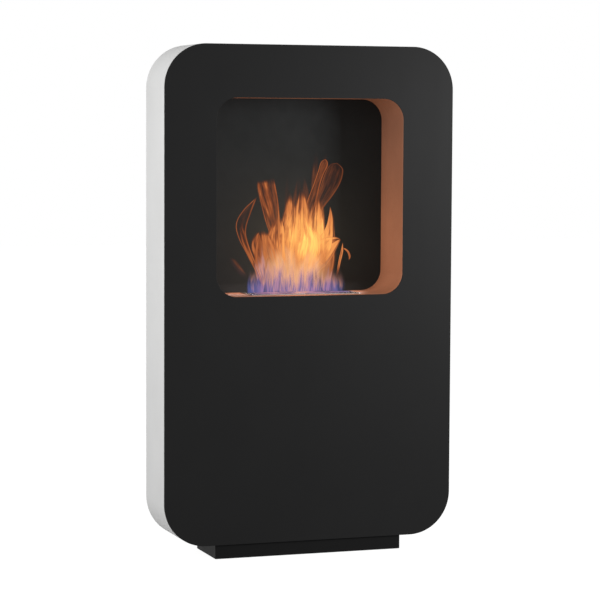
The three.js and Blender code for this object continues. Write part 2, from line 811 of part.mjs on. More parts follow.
// An angle inside each end of the tank, whose shelf the shutter runs on.
function shutterGuide(side) {
  const topZ = shutterBottomZ - slideGap;
  const outerX = tankInnerLength / 2 - seatGap;
  const bendX = outerX - guideBendRadius;
  const bendZ = topZ - guideBendRadius;
  const section = [
    [outerX - guideShelf, topZ],
    [outerX - guideShelf, topZ - guideSheet],
    ...arc(bendX, bendZ, guideBendRadius - guideSheet, quarterTurn, 0),
    [outerX - guideSheet, topZ - guideHeight],
    [outerX, topZ - guideHeight],
    ...arc(bendX, bendZ, guideBendRadius, 0, quarterTurn),
  ];
  const length = tankInnerWidth - 2 * tankCornerRadius;
  const shape = new THREE.Shape(section.map(([x, z]) => new THREE.Vector2(side * x, z)));
  return uprightPlate(shape, burnerMidY - length / 2, length);
}

// ---------------------------------------------------------------- plinth

function basePlate() {
  const outline = roundedRectangle(basePlateWidth, basePlateDepth, plinthCornerRadius, 0, bandMidY);
  return cut(
    flatPlate(outline, basePlateBottomZ, basePlateThickness, bendFacets),
    verticalHoles(plinthBoltPlaces, boltRadius + boltClearance, basePlateBottomZ, basePlateThickness),
  );
}

function plinth() {
  const height = plinthTopZ - plinthFloorGap;
  const outer = flatPlate(
    roundedRectangle(plinthWidth, plinthDepth, plinthCornerRadius), plinthFloorGap, height, bendFacets,
  );
  const innerRadius = plinthCornerRadius / 2;
  const inside = flatPlate(
    roundedRectangle(plinthWidth - 2 * plinthSheet, plinthDepth - 2 * plinthSheet, innerRadius),
    plinthFloorGap - 1,
    height - plinthSheet + 1,
    bendFacets,
  );
  return cut(outer, [
    inside,
    ...verticalHoles(plinthBoltPlaces, boltRadius + boltClearance, plinthTopZ - plinthSheet, plinthSheet),
  ]);
}

function ballastPlate() {
  const outline = roundedRectangle(ballastWidth, ballastDepth, plinthCornerRadius);
  return cut(flatPlate(outline, ballastBottomZ, ballastThickness, bendFacets), [
    ...verticalHoles(plinthBoltPlaces, boltRadius + boltClearance, ballastBottomZ, ballastThickness),
    ...verticalHoles(footPlaces, footStemRadius + boltClearance, ballastBottomZ, ballastThickness),
  ]);
}

// A flanged bolt, the underside of its head at z = 0.
function plinthBolt() {
  const tipZ = ballastBottomZ + tipSetback - boltSeatZ;
  const shank = turned([
    [0, tipZ],
    [boltRadius, tipZ],
    [boltRadius, 0],
    [boltFlangeRadius, 0],
    [boltFlangeRadius, boltFlangeHeight],
    [0, boltFlangeHeight],
  ]);
  return fuse([shank, flatPlate(hexagon(boltAcrossFlats), boltFlangeHeight / 2, boltHeadHeight)]);
}

function rubberFoot() {
  const topZ = ballastBottomZ - seatGap;
  return turned([
    [0, 0],
    [footRadius, 0],
    [footRadius + footFlare, topZ],
    [footStemRadius, topZ],
    [footStemRadius, ballastTopZ - tipSetback],
    [0, ballastTopZ - tipSetback],
  ], 2 * smallFacets);
}

// ---------------------------------------------------------------- assembly

function named(name, geometry, material) {
  const surface = closed(geometry);
  surface.computeVertexNormals();
  const mesh = new THREE.Mesh(surface, material);
  mesh.name = name;
  return mesh;
}

// One mesh for each place, numbered from 1.
function row(name, geometry, places, material) {
  return places.map(([x, y, z], i) => {
    const mesh = named(`${name}_${i + 1}`, geometry, material());
    mesh.position.set(x, y, z);
    return mesh;
  });
}

// Places [x, z] on an upright face at y, and places [x, y] on a flat one at z.
const atY = (places, y) => places.map(([x, z]) => [x, y, z]);
const atZ = (places, z) => places.map(([x, y]) => [x, y, z]);

function assembly(...children) {
  const set = new THREE.Group();
  set.add(...children);
  return set;
}

const panelNutY = bandFrontY + bandSheet + seatGap;
const linerNutY = linerFrontY + linerSheet + seatGap;
const trayNutZ = trayTopZ - traySheet - seatGap - nutHeight;

const housing = assembly(
  named('front_panel', frontPanel(), satinBlack()),
  named('side_band', sideBand(), lightGreyPaint()),
  named('rear_cover', rearCover(), darkGreyPaint()),
  named('hanger_plate', hangerPlate(), galvanised()),
  named('cross_rail', crossRail(), galvanised()),
  ...row('panel_nut', uprightNut(), atY(panelStuds, panelNutY), zincScrew),
  ...row('rear_cover_screw', rearCoverScrew(), atY(coverFixings, coverBackY), zincScrew),
);

const firebox = assembly(
  named('firebox_liner', fireboxLiner(), copperBrown()),
  named('fire_back', fireBack(), stoveBlack()),
  named('heat_shield', heatShield(), galvanised()),
  named('overflow_tray', overflowTray(), galvanised()),
  ...row('liner_nut', uprightNut(), atY(linerStuds, linerNutY), zincScrew),
  ...row('shield_screw', shieldScrew(), atY(shieldFixings, shieldBackY + seatGap), zincScrew),
  ...row('tray_nut', hexNut(), atZ(trayStuds, trayNutZ), zincScrew),
);

const burner = assembly(
  named('burner_tank', burnerTank(), stainless()),
  named('burner_top_plate', burnerTopPlate(), stainless()),
  named('ceramic_wool', ceramicWool(), ceramicFibre()),
  named('wool_retainer', woolRetainer(), stainless()),
  named('shutter_guide_left', shutterGuide(-1), stainless()),
  named('shutter_guide_right', shutterGuide(1), stainless()),
  named('shutter', shutter(), stainless()),
);

const base = assembly(
  named('base_plate', basePlate(), rawSteel()),
  named('plinth', plinth(), satinBlack()),
  named('ballast_plate', ballastPlate(), rawSteel()),
  ...row('plinth_bolt', plinthBolt(), atZ(plinthBoltPlaces, boltSeatZ), zincScrew),
  ...row('rubber_foot', rubberFoot(), atZ(footPlaces, 0), blackRubber),
);

export default assembly(housing, firebox, burner, base);
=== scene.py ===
"""Looks of a slim free-standing bioethanol fireplace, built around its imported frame.

Metres, +X to the right, the front faces -Y, +Z up.
"""

import math
import random

import bmesh
import bpy
from mathutils import Matrix, Vector


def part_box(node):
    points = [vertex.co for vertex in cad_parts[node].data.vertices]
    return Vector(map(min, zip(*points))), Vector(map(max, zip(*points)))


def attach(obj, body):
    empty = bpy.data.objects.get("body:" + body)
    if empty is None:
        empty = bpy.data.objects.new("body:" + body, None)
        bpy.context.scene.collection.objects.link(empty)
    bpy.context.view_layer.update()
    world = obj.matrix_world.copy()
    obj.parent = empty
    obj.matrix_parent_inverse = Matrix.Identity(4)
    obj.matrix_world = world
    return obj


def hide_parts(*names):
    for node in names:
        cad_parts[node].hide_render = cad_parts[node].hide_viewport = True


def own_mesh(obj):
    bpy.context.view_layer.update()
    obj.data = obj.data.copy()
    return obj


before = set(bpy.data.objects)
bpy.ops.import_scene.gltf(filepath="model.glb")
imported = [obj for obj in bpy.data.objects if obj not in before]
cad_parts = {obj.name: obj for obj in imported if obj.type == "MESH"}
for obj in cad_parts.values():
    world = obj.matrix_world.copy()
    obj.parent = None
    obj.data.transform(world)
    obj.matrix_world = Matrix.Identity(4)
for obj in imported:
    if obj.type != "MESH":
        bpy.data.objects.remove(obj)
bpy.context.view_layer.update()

MM = 0.001

# ---------------------------------------------------------------- camera

CAMERA_PLACE = Vector((-1.579, -4.491, 0.877))
CAMERA_YAW = math.radians(19.383)
CAMERA_PITCH = math.radians(4.288)
CAMERA_ROLL = math.radians(0.279)
SENSOR_WIDTH = 36.0
FOCAL_LENGTH = 138.6
FARTHEST_SEEN = 60


def add_camera():
    forward = Vector((
        math.sin(CAMERA_YAW) * math.cos(CAMERA_PITCH),
        math.cos(CAMERA_YAW) * math.cos(CAMERA_PITCH),
        -math.sin(CAMERA_PITCH),
    ))
    level = Vector((math.cos(CAMERA_YAW), -math.sin(CAMERA_YAW), 0))
    upright = level.cross(forward)
    right = level * math.cos(CAMERA_ROLL) + upright * math.sin(CAMERA_ROLL)
    up = upright * math.cos(CAMERA_ROLL) - level * math.sin(CAMERA_ROLL)
    data = bpy.data.cameras.new("camera")
    data.sensor_width = SENSOR_WIDTH
    data.lens = FOCAL_LENGTH
    data.clip_end = FARTHEST_SEEN
    camera = bpy.data.objects.new("camera", data)
    turn = Matrix((right, up, -forward)).transposed().to_4x4()
    camera.matrix_world = Matrix.Translation(CAMERA_PLACE) @ turn
    bpy.context.scene.collection.objects.link(camera)
    bpy.context.scene.camera = camera


add_camera()

# ---------------------------------------------------------------- sizes, as in the frame

HOUSING_RADIUS = 88 * MM
OPENING_RADIUS = 44 * MM
FRONT_SHEET = 2 * MM
SHEET = 1.5 * MM
THIN_SHEET = 1 * MM
EDGE = 0.5 * MM  # rounding of a painted cut edge
COVER_EDGE = 0.3 * MM
FINE_EDGE = 0.2 * MM
STUD_RADIUS = 2.5 * MM
BAND_BEND = 2 * MM
BAND_FLANGE = 18 * MM
LINER_BEND = 2.5 * MM
LINER_FRONT_FLANGE = 18 * MM
LINER_BACK_FLANGE = 14 * MM
PLINTH_RADIUS = 2 * MM
PLINTH_TOP_BEND = 1.2 * MM
SLOT = Vector((200, 28)) * MM
SLOT_SETBACK = 13.5 * MM
SLOT_RADIUS = 5 * MM
TANK_LIP = 4 * MM
TANK_RADIUS = 6 * MM
TANK_BOTTOM_BEND = 3 * MM
CORNER = 28  # facets on a quarter of a large corner
SMALL_CORNER = 8
ROUND = 12  # facets on a quarter of a hole
EDGE_STEPS = 3  # facets on a rounded sheet edge
LEAST_RADIUS = 0.05 * MM  # of a corner that has shrunk away
SAME_POINT = 1e-6

panel_low, panel_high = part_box("front_panel")
band_low, band_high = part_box("side_band")
cover_low, cover_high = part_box("rear_cover")
back_low, back_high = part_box("fire_back")
liner_low, liner_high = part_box("firebox_liner")
burner_low, burner_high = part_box("burner_top_plate")

housing_width = band_high.x - band_low.x
housing_height = band_high.z - band_low.z
housing_mid = (0, (band_low.z + band_high.z) / 2)
opening_width = back_high.x - back_low.x - 2 * LINER_BACK_FLANGE
opening_height = back_high.z - back_low.z - 2 * LINER_BACK_FLANGE
opening_mid = (0, (back_low.z + back_high.z) / 2)
opening_bottom = opening_mid[1] - opening_height / 2
burner_mid_y = (burner_low.y + burner_high.y) / 2
slot_mid_y = burner_low.y + SLOT_SETBACK + SLOT.y / 2

# ---------------------------------------------------------------- materials

# Where a Mix node keeps its sockets for colours.
MIX_FACTOR, MIX_FIRST, MIX_SECOND = 0, 6, 7
MIX_RESULT = 2

BRUSH_LINES = 900  # per metre, across the brushing
BLACK = (0.0041, 0.0041, 0.0042)
BLACK_SHADE = (0.005, 0.005, 0.0051)
STRAW_TINT = (0.62, 0.42, 0.2)
BLUE_TINT = (0.22, 0.24, 0.42)


class Shader:
    """A node tree that is built up node by node. An input's name has _ for each space."""

    def __init__(self, owner, surface):
        owner.use_nodes = True
        self.tree = owner.node_tree
        self.surface = self.tree.nodes[surface]

    def add(self, kind, settings=(), **inputs):
        node = self.tree.nodes.new(kind)
        for key, value in dict(settings).items():
            setattr(node, key, value)
        self.fill(node, inputs)
        return node

    def fill(self, node, inputs):
        for key, value in inputs.items():
            self.feed(node.inputs[key.replace("_", " ")], value)

    def feed(self, socket, value):
        if isinstance(value, bpy.types.NodeSocket):
            self.tree.links.new(value, socket)
        else:
            socket.default_value = value

    def set(self, **inputs):
        self.fill(self.surface, inputs)

    def mapped(self, kind, value, start, end, low, high):
        node = self.add("ShaderNodeMapRange", {"interpolation_type": kind}, Value=value)
        self.fill(node, {"From_Min": start, "From_Max": end, "To_Min": low, "To_Max": high})
        return node.outputs["Result"]

    def spread(self, value, low, high, start=0.3, end=0.7):
        """value from start to end, spread over low to high."""
        return self.mapped("LINEAR", value, start, end, low, high)

    def eased(self, value, start, end, low=0.0, high=1.0):
        """A smooth step of value from start to end."""
        return self.mapped("SMOOTHSTEP", value, start, end, low, high)

    def maths(self, operation, first, second=0.0, clamp=False):
        node = self.add("ShaderNodeMath", {"operation": operation, "use_clamp": clamp})
        self.feed(node.inputs[0], first)
        self.feed(node.inputs[1], second)
        return node.outputs[0]

    def plus(self, first, second, clamp=False):
        return self.maths("ADD", first, second, clamp)

    def times(self, first, second):
        return self.maths("MULTIPLY", first, second)

    def mixed(self, factor, first, second):
        """The colour first at factor 0 and second at factor 1."""
        node = self.add("ShaderNodeMix", {"data_type": "RGBA"})
        self.feed(node.inputs[MIX_FACTOR], factor)
        for index, colour in ((MIX_FIRST, first), (MIX_SECOND, second)):
            self.feed(node.inputs[index], (*colour, 1) if isinstance(colour, tuple) else colour)
        return node.outputs[MIX_RESULT]


class Finish(Shader):
    """A material in the object's own coordinates."""

    def __init__(self, name):
        self.material = bpy.data.materials.new(name)
        super().__init__(self.material, "Principled BSDF")
        self.place = self.add("ShaderNodeTexCoord").outputs["Object"]

    def stretched(self, x, y, z):
        """The object's coordinates, each multiplied by a frequency."""
        return self.add("ShaderNodeMapping", Vector=self.place, Scale=(x, y, z)).outputs["Vector"]

    def noise(self, scale, detail, vector=None, roughness=0.5, distortion=0.0):
        where = self.place if vector is None else vector
        return self.add(
            "ShaderNodeTexNoise", Vector=where, Scale=scale, Detail=detail,
            Roughness=roughness, Distortion=distortion,
        ).outputs["Fac"]

    def bump(self, height, strength, distance):
        node = self.add("ShaderNodeBump", Height=height, Strength=strength, Distance=distance)
        self.set(Normal=node.outputs["Normal"])


def powder_coat(name, colour, shade, roughness, specular):
    """Powder coat: fine orange peel, a slight mottle and a soft sheen."""
    finish = Finish(name)
    cloudy = finish.noise(7, 3)
    speckle = finish.noise(1900, 1)
    tone = finish.mixed(finish.spread(cloudy, 0, 1), colour, shade)
    finish.set(Base_Color=finish.mixed(finish.spread(speckle, 0, 0.35, 0.55, 0.75), tone, shade))
    streaks = finish.noise(1, 3, finish.stretched(14, 14, 3))
    finish.set(Roughness=finish.spread(streaks, roughness - 0.03, roughness + 0.03))
    finish.set(Specular_IOR_Level=specular)
    orange_peel = finish.noise(620, 2)
    grain = finish.noise(2600, 1)
    height = finish.plus(orange_peel, finish.times(grain, 0.3))
    finish.bump(height, strength=0.12, distance=0.15 * MM)
    return finish.material


def heat_resistant_coat(name, colour, shade, roughness, metallic=0.0, specular=0.5):
    """Thin sprayed stove coating over sheet metal: matt grain with a faint cloudiness."""
    finish = Finish(name)
    cloudy = finish.noise(9, 4, roughness=0.6)
    finish.set(Base_Color=finish.mixed(finish.spread(cloudy, 0, 1), colour, shade), Metallic=metallic)
    finish.set(Roughness=finish.spread(finish.noise(60, 3), roughness - 0.04, roughness + 0.05))
    finish.set(Specular_IOR_Level=specular)
    finish.bump(finish.noise(1500, 2), strength=0.1, distance=0.1 * MM)
    return finish.material


def brushed_steel(name, colour, shade, along, roughness):
    """Fine brushed steel. along is how often the lines repeat on each axis, lowest along the brushing."""
    finish = Finish(name)
    lines = finish.noise(1, 3, finish.stretched(*(BRUSH_LINES * a for a in along)), roughness=0.65)
    patches = finish.noise(22, 3)
    brushed = finish.mixed(finish.spread(lines, 0, 1), colour, shade)
    finish.set(Base_Color=finish.mixed(finish.spread(patches, 0, 0.3), brushed, shade), Metallic=1.0)
    finish.set(Roughness=finish.spread(lines, roughness - 0.07, roughness + 0.09))
    finish.bump(lines, strength=0.12, distance=0.03 * MM)
    return finish


def heat_tinted_steel(name):
    """The burner's brushed plate, straw and blue where the flame has heated it round the slot."""
    finish = brushed_steel(name, (0.68, 0.66, 0.63), (0.5, 0.48, 0.45), along=(0.012, 1, 1), roughness=0.18)
    brushed = finish.surface.inputs["Base Color"].links[0].from_socket
    split = finish.add("ShaderNodeSeparateXYZ", Vector=finish.place)
    off_x = finish.maths("ABSOLUTE", split.outputs["X"])
    beside = finish.maths("SUBTRACT", off_x, SLOT.x / 2)
    off_y = finish.maths("ABSOLUTE", finish.maths("SUBTRACT", split.outputs["Y"], slot_mid_y))
    before = finish.maths("SUBTRACT", off_y, SLOT.y / 2)
    away = finish.maths("MAXIMUM", beside, before)
    wobble = finish.times(finish.maths("SUBTRACT", finish.noise(45, 3), 0.5), 9 * MM)
    distance = finish.plus(away, wobble)
    straw = finish.mixed(finish.eased(distance, 14 * MM, 5 * MM, 0, 0.55), brushed, STRAW_TINT)
    blue = finish.mixed(finish.eased(distance, 6 * MM, 2 * MM, 0, 0.6), straw, BLUE_TINT)
    finish.set(Base_Color=blue)
    return finish.material


def galvanised_sheet(name):
    """Zinc-coated sheet with soft spangles."""
    finish = Finish(name)
    cells = finish.add("ShaderNodeTexVoronoi", Vector=finish.place, Scale=95, Randomness=1.0)
    spangle = finish.add("ShaderNodeSeparateColor", Color=cells.outputs["Color"]).outputs["Red"]
    fine = finish.noise(400, 2)
    mottle = finish.plus(finish.times(spangle, 0.5), finish.times(fine, 0.5))
    finish.set(Base_Color=finish.mixed(mottle, (0.36, 0.38, 0.39), (0.56, 0.58, 0.58)), Metallic=0.9)
    finish.set(Roughness=finish.spread(spangle, 0.36, 0.5, 0, 1))
    finish.bump(fine, strength=0.08, distance=0.05 * MM)
    return finish.material


def zinc_plated(name):
    finish = Finish(name)
    fine = finish.noise(500, 2)
    finish.set(Base_Color=finish.mixed(fine, (0.5, 0.5, 0.46), (0.62, 0.6, 0.55)), Metallic=1.0)
    finish.set(Roughness=finish.spread(fine, 0.25, 0.36))
    return finish.material


def mill_steel(name):
    """Oiled hot-rolled plate with blue-grey scale."""
    finish = Finish(name)
    scale = finish.noise(30, 5, roughness=0.65)
    finish.set(Base_Color=finish.mixed(finish.spread(scale, 0, 1), (0.07, 0.075, 0.085), (0.19, 0.18, 0.17)))
    finish.set(Metallic=0.75, Roughness=finish.spread(scale, 0.4, 0.62))
    finish.bump(finish.noise(300, 3), strength=0.15, distance=0.1 * MM)
    return finish.material


def moulded_rubber(name):
    finish = Finish(name)
    grain = finish.noise(900, 3)
    finish.set(Base_Color=finish.mixed(grain, (0.008, 0.008, 0.008), (0.02, 0.02, 0.02)))
    finish.set(Roughness=finish.spread(grain, 0.7, 0.85), Specular_IOR_Level=0.35)
    finish.bump(grain, strength=0.2, distance=0.1 * MM)
    return finish.material


def ceramic_fibre(name):
    """White mineral wool: matt, matted fibres, faintly yellowed."""
    finish = Finish(name)
    fibres = finish.noise(1, 4, finish.stretched(500, 160, 300), roughness=0.7, distortion=1.5)
    finish.set(Base_Color=finish.mixed(fibres, (0.62, 0.58, 0.5), (0.86, 0.84, 0.79)), Roughness=0.95)
    finish.bump(fibres, strength=0.6, distance=0.5 * MM)
    return finish.material


satin_black = powder_coat("satin_black", BLACK, BLACK_SHADE, roughness=0.5, specular=0.12)
plinth_black = powder_coat("plinth_black", BLACK, BLACK_SHADE, roughness=0.55, specular=0.07)
light_grey = powder_coat(
    "light_grey", (0.71, 0.71, 0.705), (0.67, 0.67, 0.665), roughness=0.45, specular=0.35,
)
dark_grey = powder_coat(
    "dark_grey", (0.026, 0.027, 0.029), (0.032, 0.033, 0.035), roughness=0.55, specular=0.4,
)
copper_brown = heat_resistant_coat(
    "copper_brown", (0.3, 0.138, 0.085), (0.26, 0.118, 0.072), roughness=0.5, metallic=0.25,
)
stove_black = heat_resistant_coat(
    "stove_black", (0.0112, 0.013, 0.0138), (0.0134, 0.0152, 0.016), roughness=0.6, specular=0.1,
)
galvanised = galvanised_sheet("galvanised")
zinc = zinc_plated("zinc")
raw_steel = mill_steel("raw_steel")
black_rubber = moulded_rubber("black_rubber")
wool_white = ceramic_fibre("ceramic_fibre")
burner_steel = heat_tinted_steel("burner_steel")
tank_steel = brushed_steel(
    "tank_steel", (0.62, 0.61, 0.59), (0.48, 0.47, 0.45), along=(0.02, 1, 1), roughness=0.32,
).material

# ---------------------------------------------------------------- outlines


def rounded(width, height, radius, mid=(0, 0), facets=ROUND):
    """A rectangle with round corners, as a function of how far it is grown outwards."""
    reach_u, reach_v = width / 2 - radius, height / 2 - radius

    def grown(by=0.0):
        points = []
        reach = max(radius + by, LEAST_RADIUS)
        for corner in range(4):
            centre_u = mid[0] + (reach_u if corner in (0, 3) else -reach_u)
            centre_v = mid[1] + (reach_v if corner < 2 else -reach_v)
            for step in range(facets + 1):
                angle = (corner + step / facets) * math.pi / 2
                point = Vector((centre_u, centre_v)) + reach * Vector((math.cos(angle), math.sin(angle)))
                if not points or (point - points[-1]).length > SAME_POINT:
                    points.append(point)
        if (points[0] - points[-1]).length < SAME_POINT:
            points.pop()
        return points

    return grown


def circle(radius, mid):
    return rounded(2 * radius, 2 * radius, radius, mid, SMALL_CORNER)


def hexagon(across_flats, mid):
    def grown(by=0.0):
        corner = (across_flats / 2 + by) / math.cos(math.pi / 6)
        angles = [i * math.pi / 3 for i in range(6)]
        return [Vector(mid) + corner * Vector((math.cos(a), math.sin(a))) for a in angles]

    return grown


def quarter(mid_u, mid_v, radius, start, facets=SMALL_CORNER, turn=1):
    """Points on a quarter of an arc from start, in quarter turns."""
    angles = [(start + turn * i / facets) * math.pi / 2 for i in range(facets + 1)]
    return [(mid_u + radius * math.cos(a), mid_v + radius * math.sin(a)) for a in angles]


def upright(u, v, depth):
    """An outline in X and Z with its depth along Y."""
    return Vector((u, depth, v))


def lying(u, v, depth):
    """An outline in X and Y with its depth along Z."""
    return Vector((u, v, depth))


def flat(point, place):
    """A point's place in the plane of an outline."""
    return (point.x, point.z) if place is upright else (point.x, point.y)


def node_outline(node, radius, inset=0.0):
    """A node's box seen from above, drawn in by inset, with round corners."""
    low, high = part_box(node)
    mid = flat((low + high) / 2, lying)
    return rounded(high.x - low.x - 2 * inset, high.y - low.y - 2 * inset, radius, mid, SMALL_CORNER)


def clearance_holes(nodes, radius, place):
    """Outlines of the holes that fasteners pass through."""
    return [circle(radius + HOLE_PLAY, flat(centre_of(n), place)) for n in nodes]


# ---------------------------------------------------------------- meshes


def skin(mesh, rings, closed=False):
    """Quads between neighbouring rings of vertices, and from the last to the first if closed."""
    pairs = list(zip(rings, rings[1:]))
    if closed:
        pairs.append((rings[-1], rings[0]))
    for first, second in pairs:
        for i in range(len(first)):
            j = (i + 1) % len(first)
            mesh.faces.new((first[i], first[j], second[j], second[i]))


def ring(mesh, points):
    return [mesh.verts.new(point) for point in points]


def ring_edges(mesh, rings):
    return [mesh.edges.get((r[i], r[(i + 1) % len(r)])) for r in rings for i in range(len(r))]


def eased_edge(start, end, edge, inwards):
    """Profile of a sheet's rim as (grow, depth), with both edges rounded by edge."""
    side = -1 if inwards else 1
    turns = [i * math.pi / 2 / EDGE_STEPS for i in range(EDGE_STEPS + 1)]
    first = [(-side * edge * (1 - math.sin(a)), start + edge * (1 - math.cos(a))) for a in turns]
    last = [(-side * edge * (1 - math.sin(a)), end - edge * (1 - math.cos(a))) for a in reversed(turns)]
    return first + last


def plate(mesh, outer, holes, start, end, edge=EDGE, place=upright):
    """A sheet from start to end, with holes. A hole is an outline, or an outline and its rim's profile."""
    faces = [[], []]
    rims = [(outer, eased_edge(start, end, edge, False))]
    for hole in holes:
        rims.append(hole if isinstance(hole, tuple) else (hole, eased_edge(start, end, edge, True)))
    for outline, profile in rims:
        rings = [ring(mesh, [place(u, v, depth) for u, v in outline(grow)]) for grow, depth in profile]
        skin(mesh, rings)
        faces[0].append(rings[0])
        faces[1].append(rings[-1])
    for rings in faces:
        bmesh.ops.triangle_fill(mesh, use_beauty=True, edges=ring_edges(mesh, rings))


def loft(mesh, outline, profile, place=lying):
    """A closed skin through an outline at each (grow, depth), capped at both ends."""
    rings = [ring(mesh, [place(u, v, depth) for u, v in outline(grow)]) for grow, depth in profile]
    skin(mesh, rings)
    mesh.faces.new(rings[0])
    mesh.faces.new(rings[-1])


def swept_frame(mesh, section, width, height, radius, mid_z):
    """A closed section of (inset, y) run round an upright rounded rectangle."""
    outline = rounded(width, height, radius, (0, mid_z), CORNER)
    loops = [ring(mesh, [upright(u, v, y) for u, v in outline(-inset)]) for inset, y in section]
    skin(mesh, loops, closed=True)


def turned(mesh, profile, centre, axis, facets=32):
    """A profile of (radius, distance along the axis), turned about it. It starts and ends on the axis."""
    turn = Vector((0, 0, 1)).rotation_difference(axis).to_matrix()
    angles = [2 * math.pi * i / facets for i in range(facets)]

    def at(radius, along, angle):
        return centre + turn @ Vector((radius * math.cos(angle), radius * math.sin(angle), along))

    rings = [ring(mesh, [at(r, along, a) for a in angles]) for r, along in profile[1:-1]]
    skin(mesh, rings)
    for (_, along), end in ((profile[0], rings[0]), (profile[-1], rings[-1])):
        tip = mesh.verts.new(at(0, along, 0))
        for i in range(facets):
            mesh.faces.new((tip, end[i], end[(i + 1) % facets]))


def run_along_x(mesh, section, low_x, high_x):
    """A closed section of (y, z) run along X."""
    ends = [ring(mesh, [Vector((x, y, z)) for y, z in section]) for x in (low_x, high_x)]
    skin(mesh, ends)
    for end in ends:
        mesh.faces.new(end)


def piece(name, build, material=None):
    """An object whose mesh is made by build, a function that fills a bmesh."""
    mesh = bmesh.new()
    build(mesh)
    bmesh.ops.recalc_face_normals(mesh, faces=mesh.faces)
    data = bpy.data.meshes.new(name)
    mesh.to_mesh(data)
    mesh.free()
    made = bpy.data.objects.new(name, data)
    bpy.context.scene.collection.objects.link(made)
    if material:
        data.materials.append(material)
    return made


def apply_modifiers(made):
    depsgraph = bpy.context.evaluated_depsgraph_get()
    data = bpy.data.meshes.new_from_object(made.evaluated_get(depsgraph))
    made.modifiers.clear()
    made.data = data


def combine(made, build, operation="DIFFERENCE"):
    """Takes what build makes out of made, joins it on, or keeps what they share."""
    tool = piece("tool", build)
    modifier = made.modifiers.new("combine", "BOOLEAN")
    modifier.operation = operation
    modifier.solver = "EXACT"
    modifier.use_self = True
    modifier.object = tool
    apply_modifiers(made)
    bpy.data.objects.remove(tool)


def smooth(made, angle):
    """Smooth shading with sharp edges kept, and flat faces left flat beside their rounded rims."""
    made.data.shade_smooth()
    made.data.set_sharp_from_angle(angle=math.radians(angle))
    weighted = made.modifiers.new("weighted_normals", "WEIGHTED_NORMAL")
    weighted.keep_sharp = True


def stand_for(made, body, slot, *nodes):
    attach(made, body)
    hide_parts(*nodes)


def finished(made, body, slot, node, angle=35):
    smooth(made, angle)
    stand_for(made, body, slot, node)


def dress(node, material):
    """Keeps a CAD node and gives it a finish."""
    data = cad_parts[node].data
    data.materials.clear()
    data.materials.append(material)
    data.set_sharp_from_angle(angle=math.radians(30))


def numbered(stem):
    """The CAD nodes stem_1, stem_2 and so on."""
    names = (name.rpartition("_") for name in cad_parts)
    return sorted("".join(name) for name in names if name[0] == stem and name[2].isdigit())


def centre_of(node):
    low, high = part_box(node)
    return (low + high) / 2


def rods(mesh, places, radius, low, high, axis):
    """Plain rods along axis through places, from low to high on it."""
    for place in places:
        start = Vector(place)
        start -= start.dot(axis) * axis
        profile = [(0, 0), (radius, 0), (radius, high - low), (0, high - low)]
        turned(mesh, profile, start + low * axis, axis, 24)


def drill(mesh, nodes, radius, face, depth, axis):
    """Rods for the holes that fasteners pass through, from outside a sheet's face to depth in it."""
    low, high = sorted((face - math.copysign(MM, depth), face + depth))
    rods(mesh, [centre_of(n) for n in nodes], radius + HOLE_PLAY, low, high, axis)


ALONG_Y = Vector((0, 1, 0))
ALONG_Z = Vector((0, 0, 1))

panel_nuts = numbered("panel_nut")
liner_nuts = numbered("liner_nut")
cover_screws = numbered("rear_cover_screw")
shield_screws = numbered("shield_screw")
tray_nuts = numbered("tray_nut")
plinth_bolts = numbered("plinth_bolt")
rubber_feet = numbered("rubber_foot")

# ---------------------------------------------------------------- housing

HOLE_PLAY = 0.4 * MM
DRILLED = 3 * MM  # past any single sheet
SCREW_RADIUS = 2 * MM
SCREW_HEAD = 3.7 * MM
SCREW_HEAD_DEPTH = 1.3 * MM
BOLT_RADIUS = 4 * MM


def front_panel():
    outer = rounded(housing_width, housing_height, HOUSING_RADIUS, housing_mid, CORNER)
    opening = rounded(opening_width, opening_height, OPENING_RADIUS, opening_mid, CORNER)
    back_y = panel_low.y + FRONT_SHEET

    def studs(mesh):
        places = [centre_of(n) for n in panel_nuts + liner_nuts]
        rods(mesh, places, STUD_RADIUS, back_y - FRONT_SHEET / 2, panel_high.y, ALONG_Y)

    made = piece("front_plate", lambda mesh: plate(mesh, outer, [opening], panel_low.y, back_y), satin_black)
    combine(made, studs, "UNION")
    finished(made, "housing", "satin_black", "front_panel")


def folded_channel(front, back, bend, front_flange, back_flange):
    """Section of a strip with a flange at each edge, as (inset, y), its lips slightly rounded."""
    inner = bend - SHEET
    return [
        *quarter(bend, front + bend, bend, 2),
        (front_flange - FINE_EDGE, front),
        (front_flange, front + FINE_EDGE),
        (front_flange, front + SHEET - FINE_EDGE),
        (front_flange - FINE_EDGE, front + SHEET),
        *quarter(bend, front + bend, inner, 3, turn=-1),
        *quarter(bend, back - bend, inner, 2, turn=-1),
        (back_flange - FINE_EDGE, back - SHEET),
        (back_flange, back - SHEET + FINE_EDGE),
        (back_flange, back - FINE_EDGE),
        (back_flange - FINE_EDGE, back),
        *quarter(bend, back - bend, bend, 1),
    ]


def side_band():
    section = folded_channel(band_low.y, band_high.y, BAND_BEND, BAND_FLANGE, BAND_FLANGE)

    def build(mesh):
        swept_frame(mesh, section, housing_width, housing_height, HOUSING_RADIUS, housing_mid[1])

    def holes(mesh):
        drill(mesh, panel_nuts, STUD_RADIUS, band_low.y, DRILLED, ALONG_Y)
        drill(mesh, cover_screws, SCREW_RADIUS, band_high.y, -DRILLED, ALONG_Y)
        drill(mesh, plinth_bolts, BOLT_RADIUS, band_low.z, DRILLED, ALONG_Z)

    made = piece("band", build, light_grey)
    combine(made, holes)
    finished(made, "housing", "light_grey", "side_band")


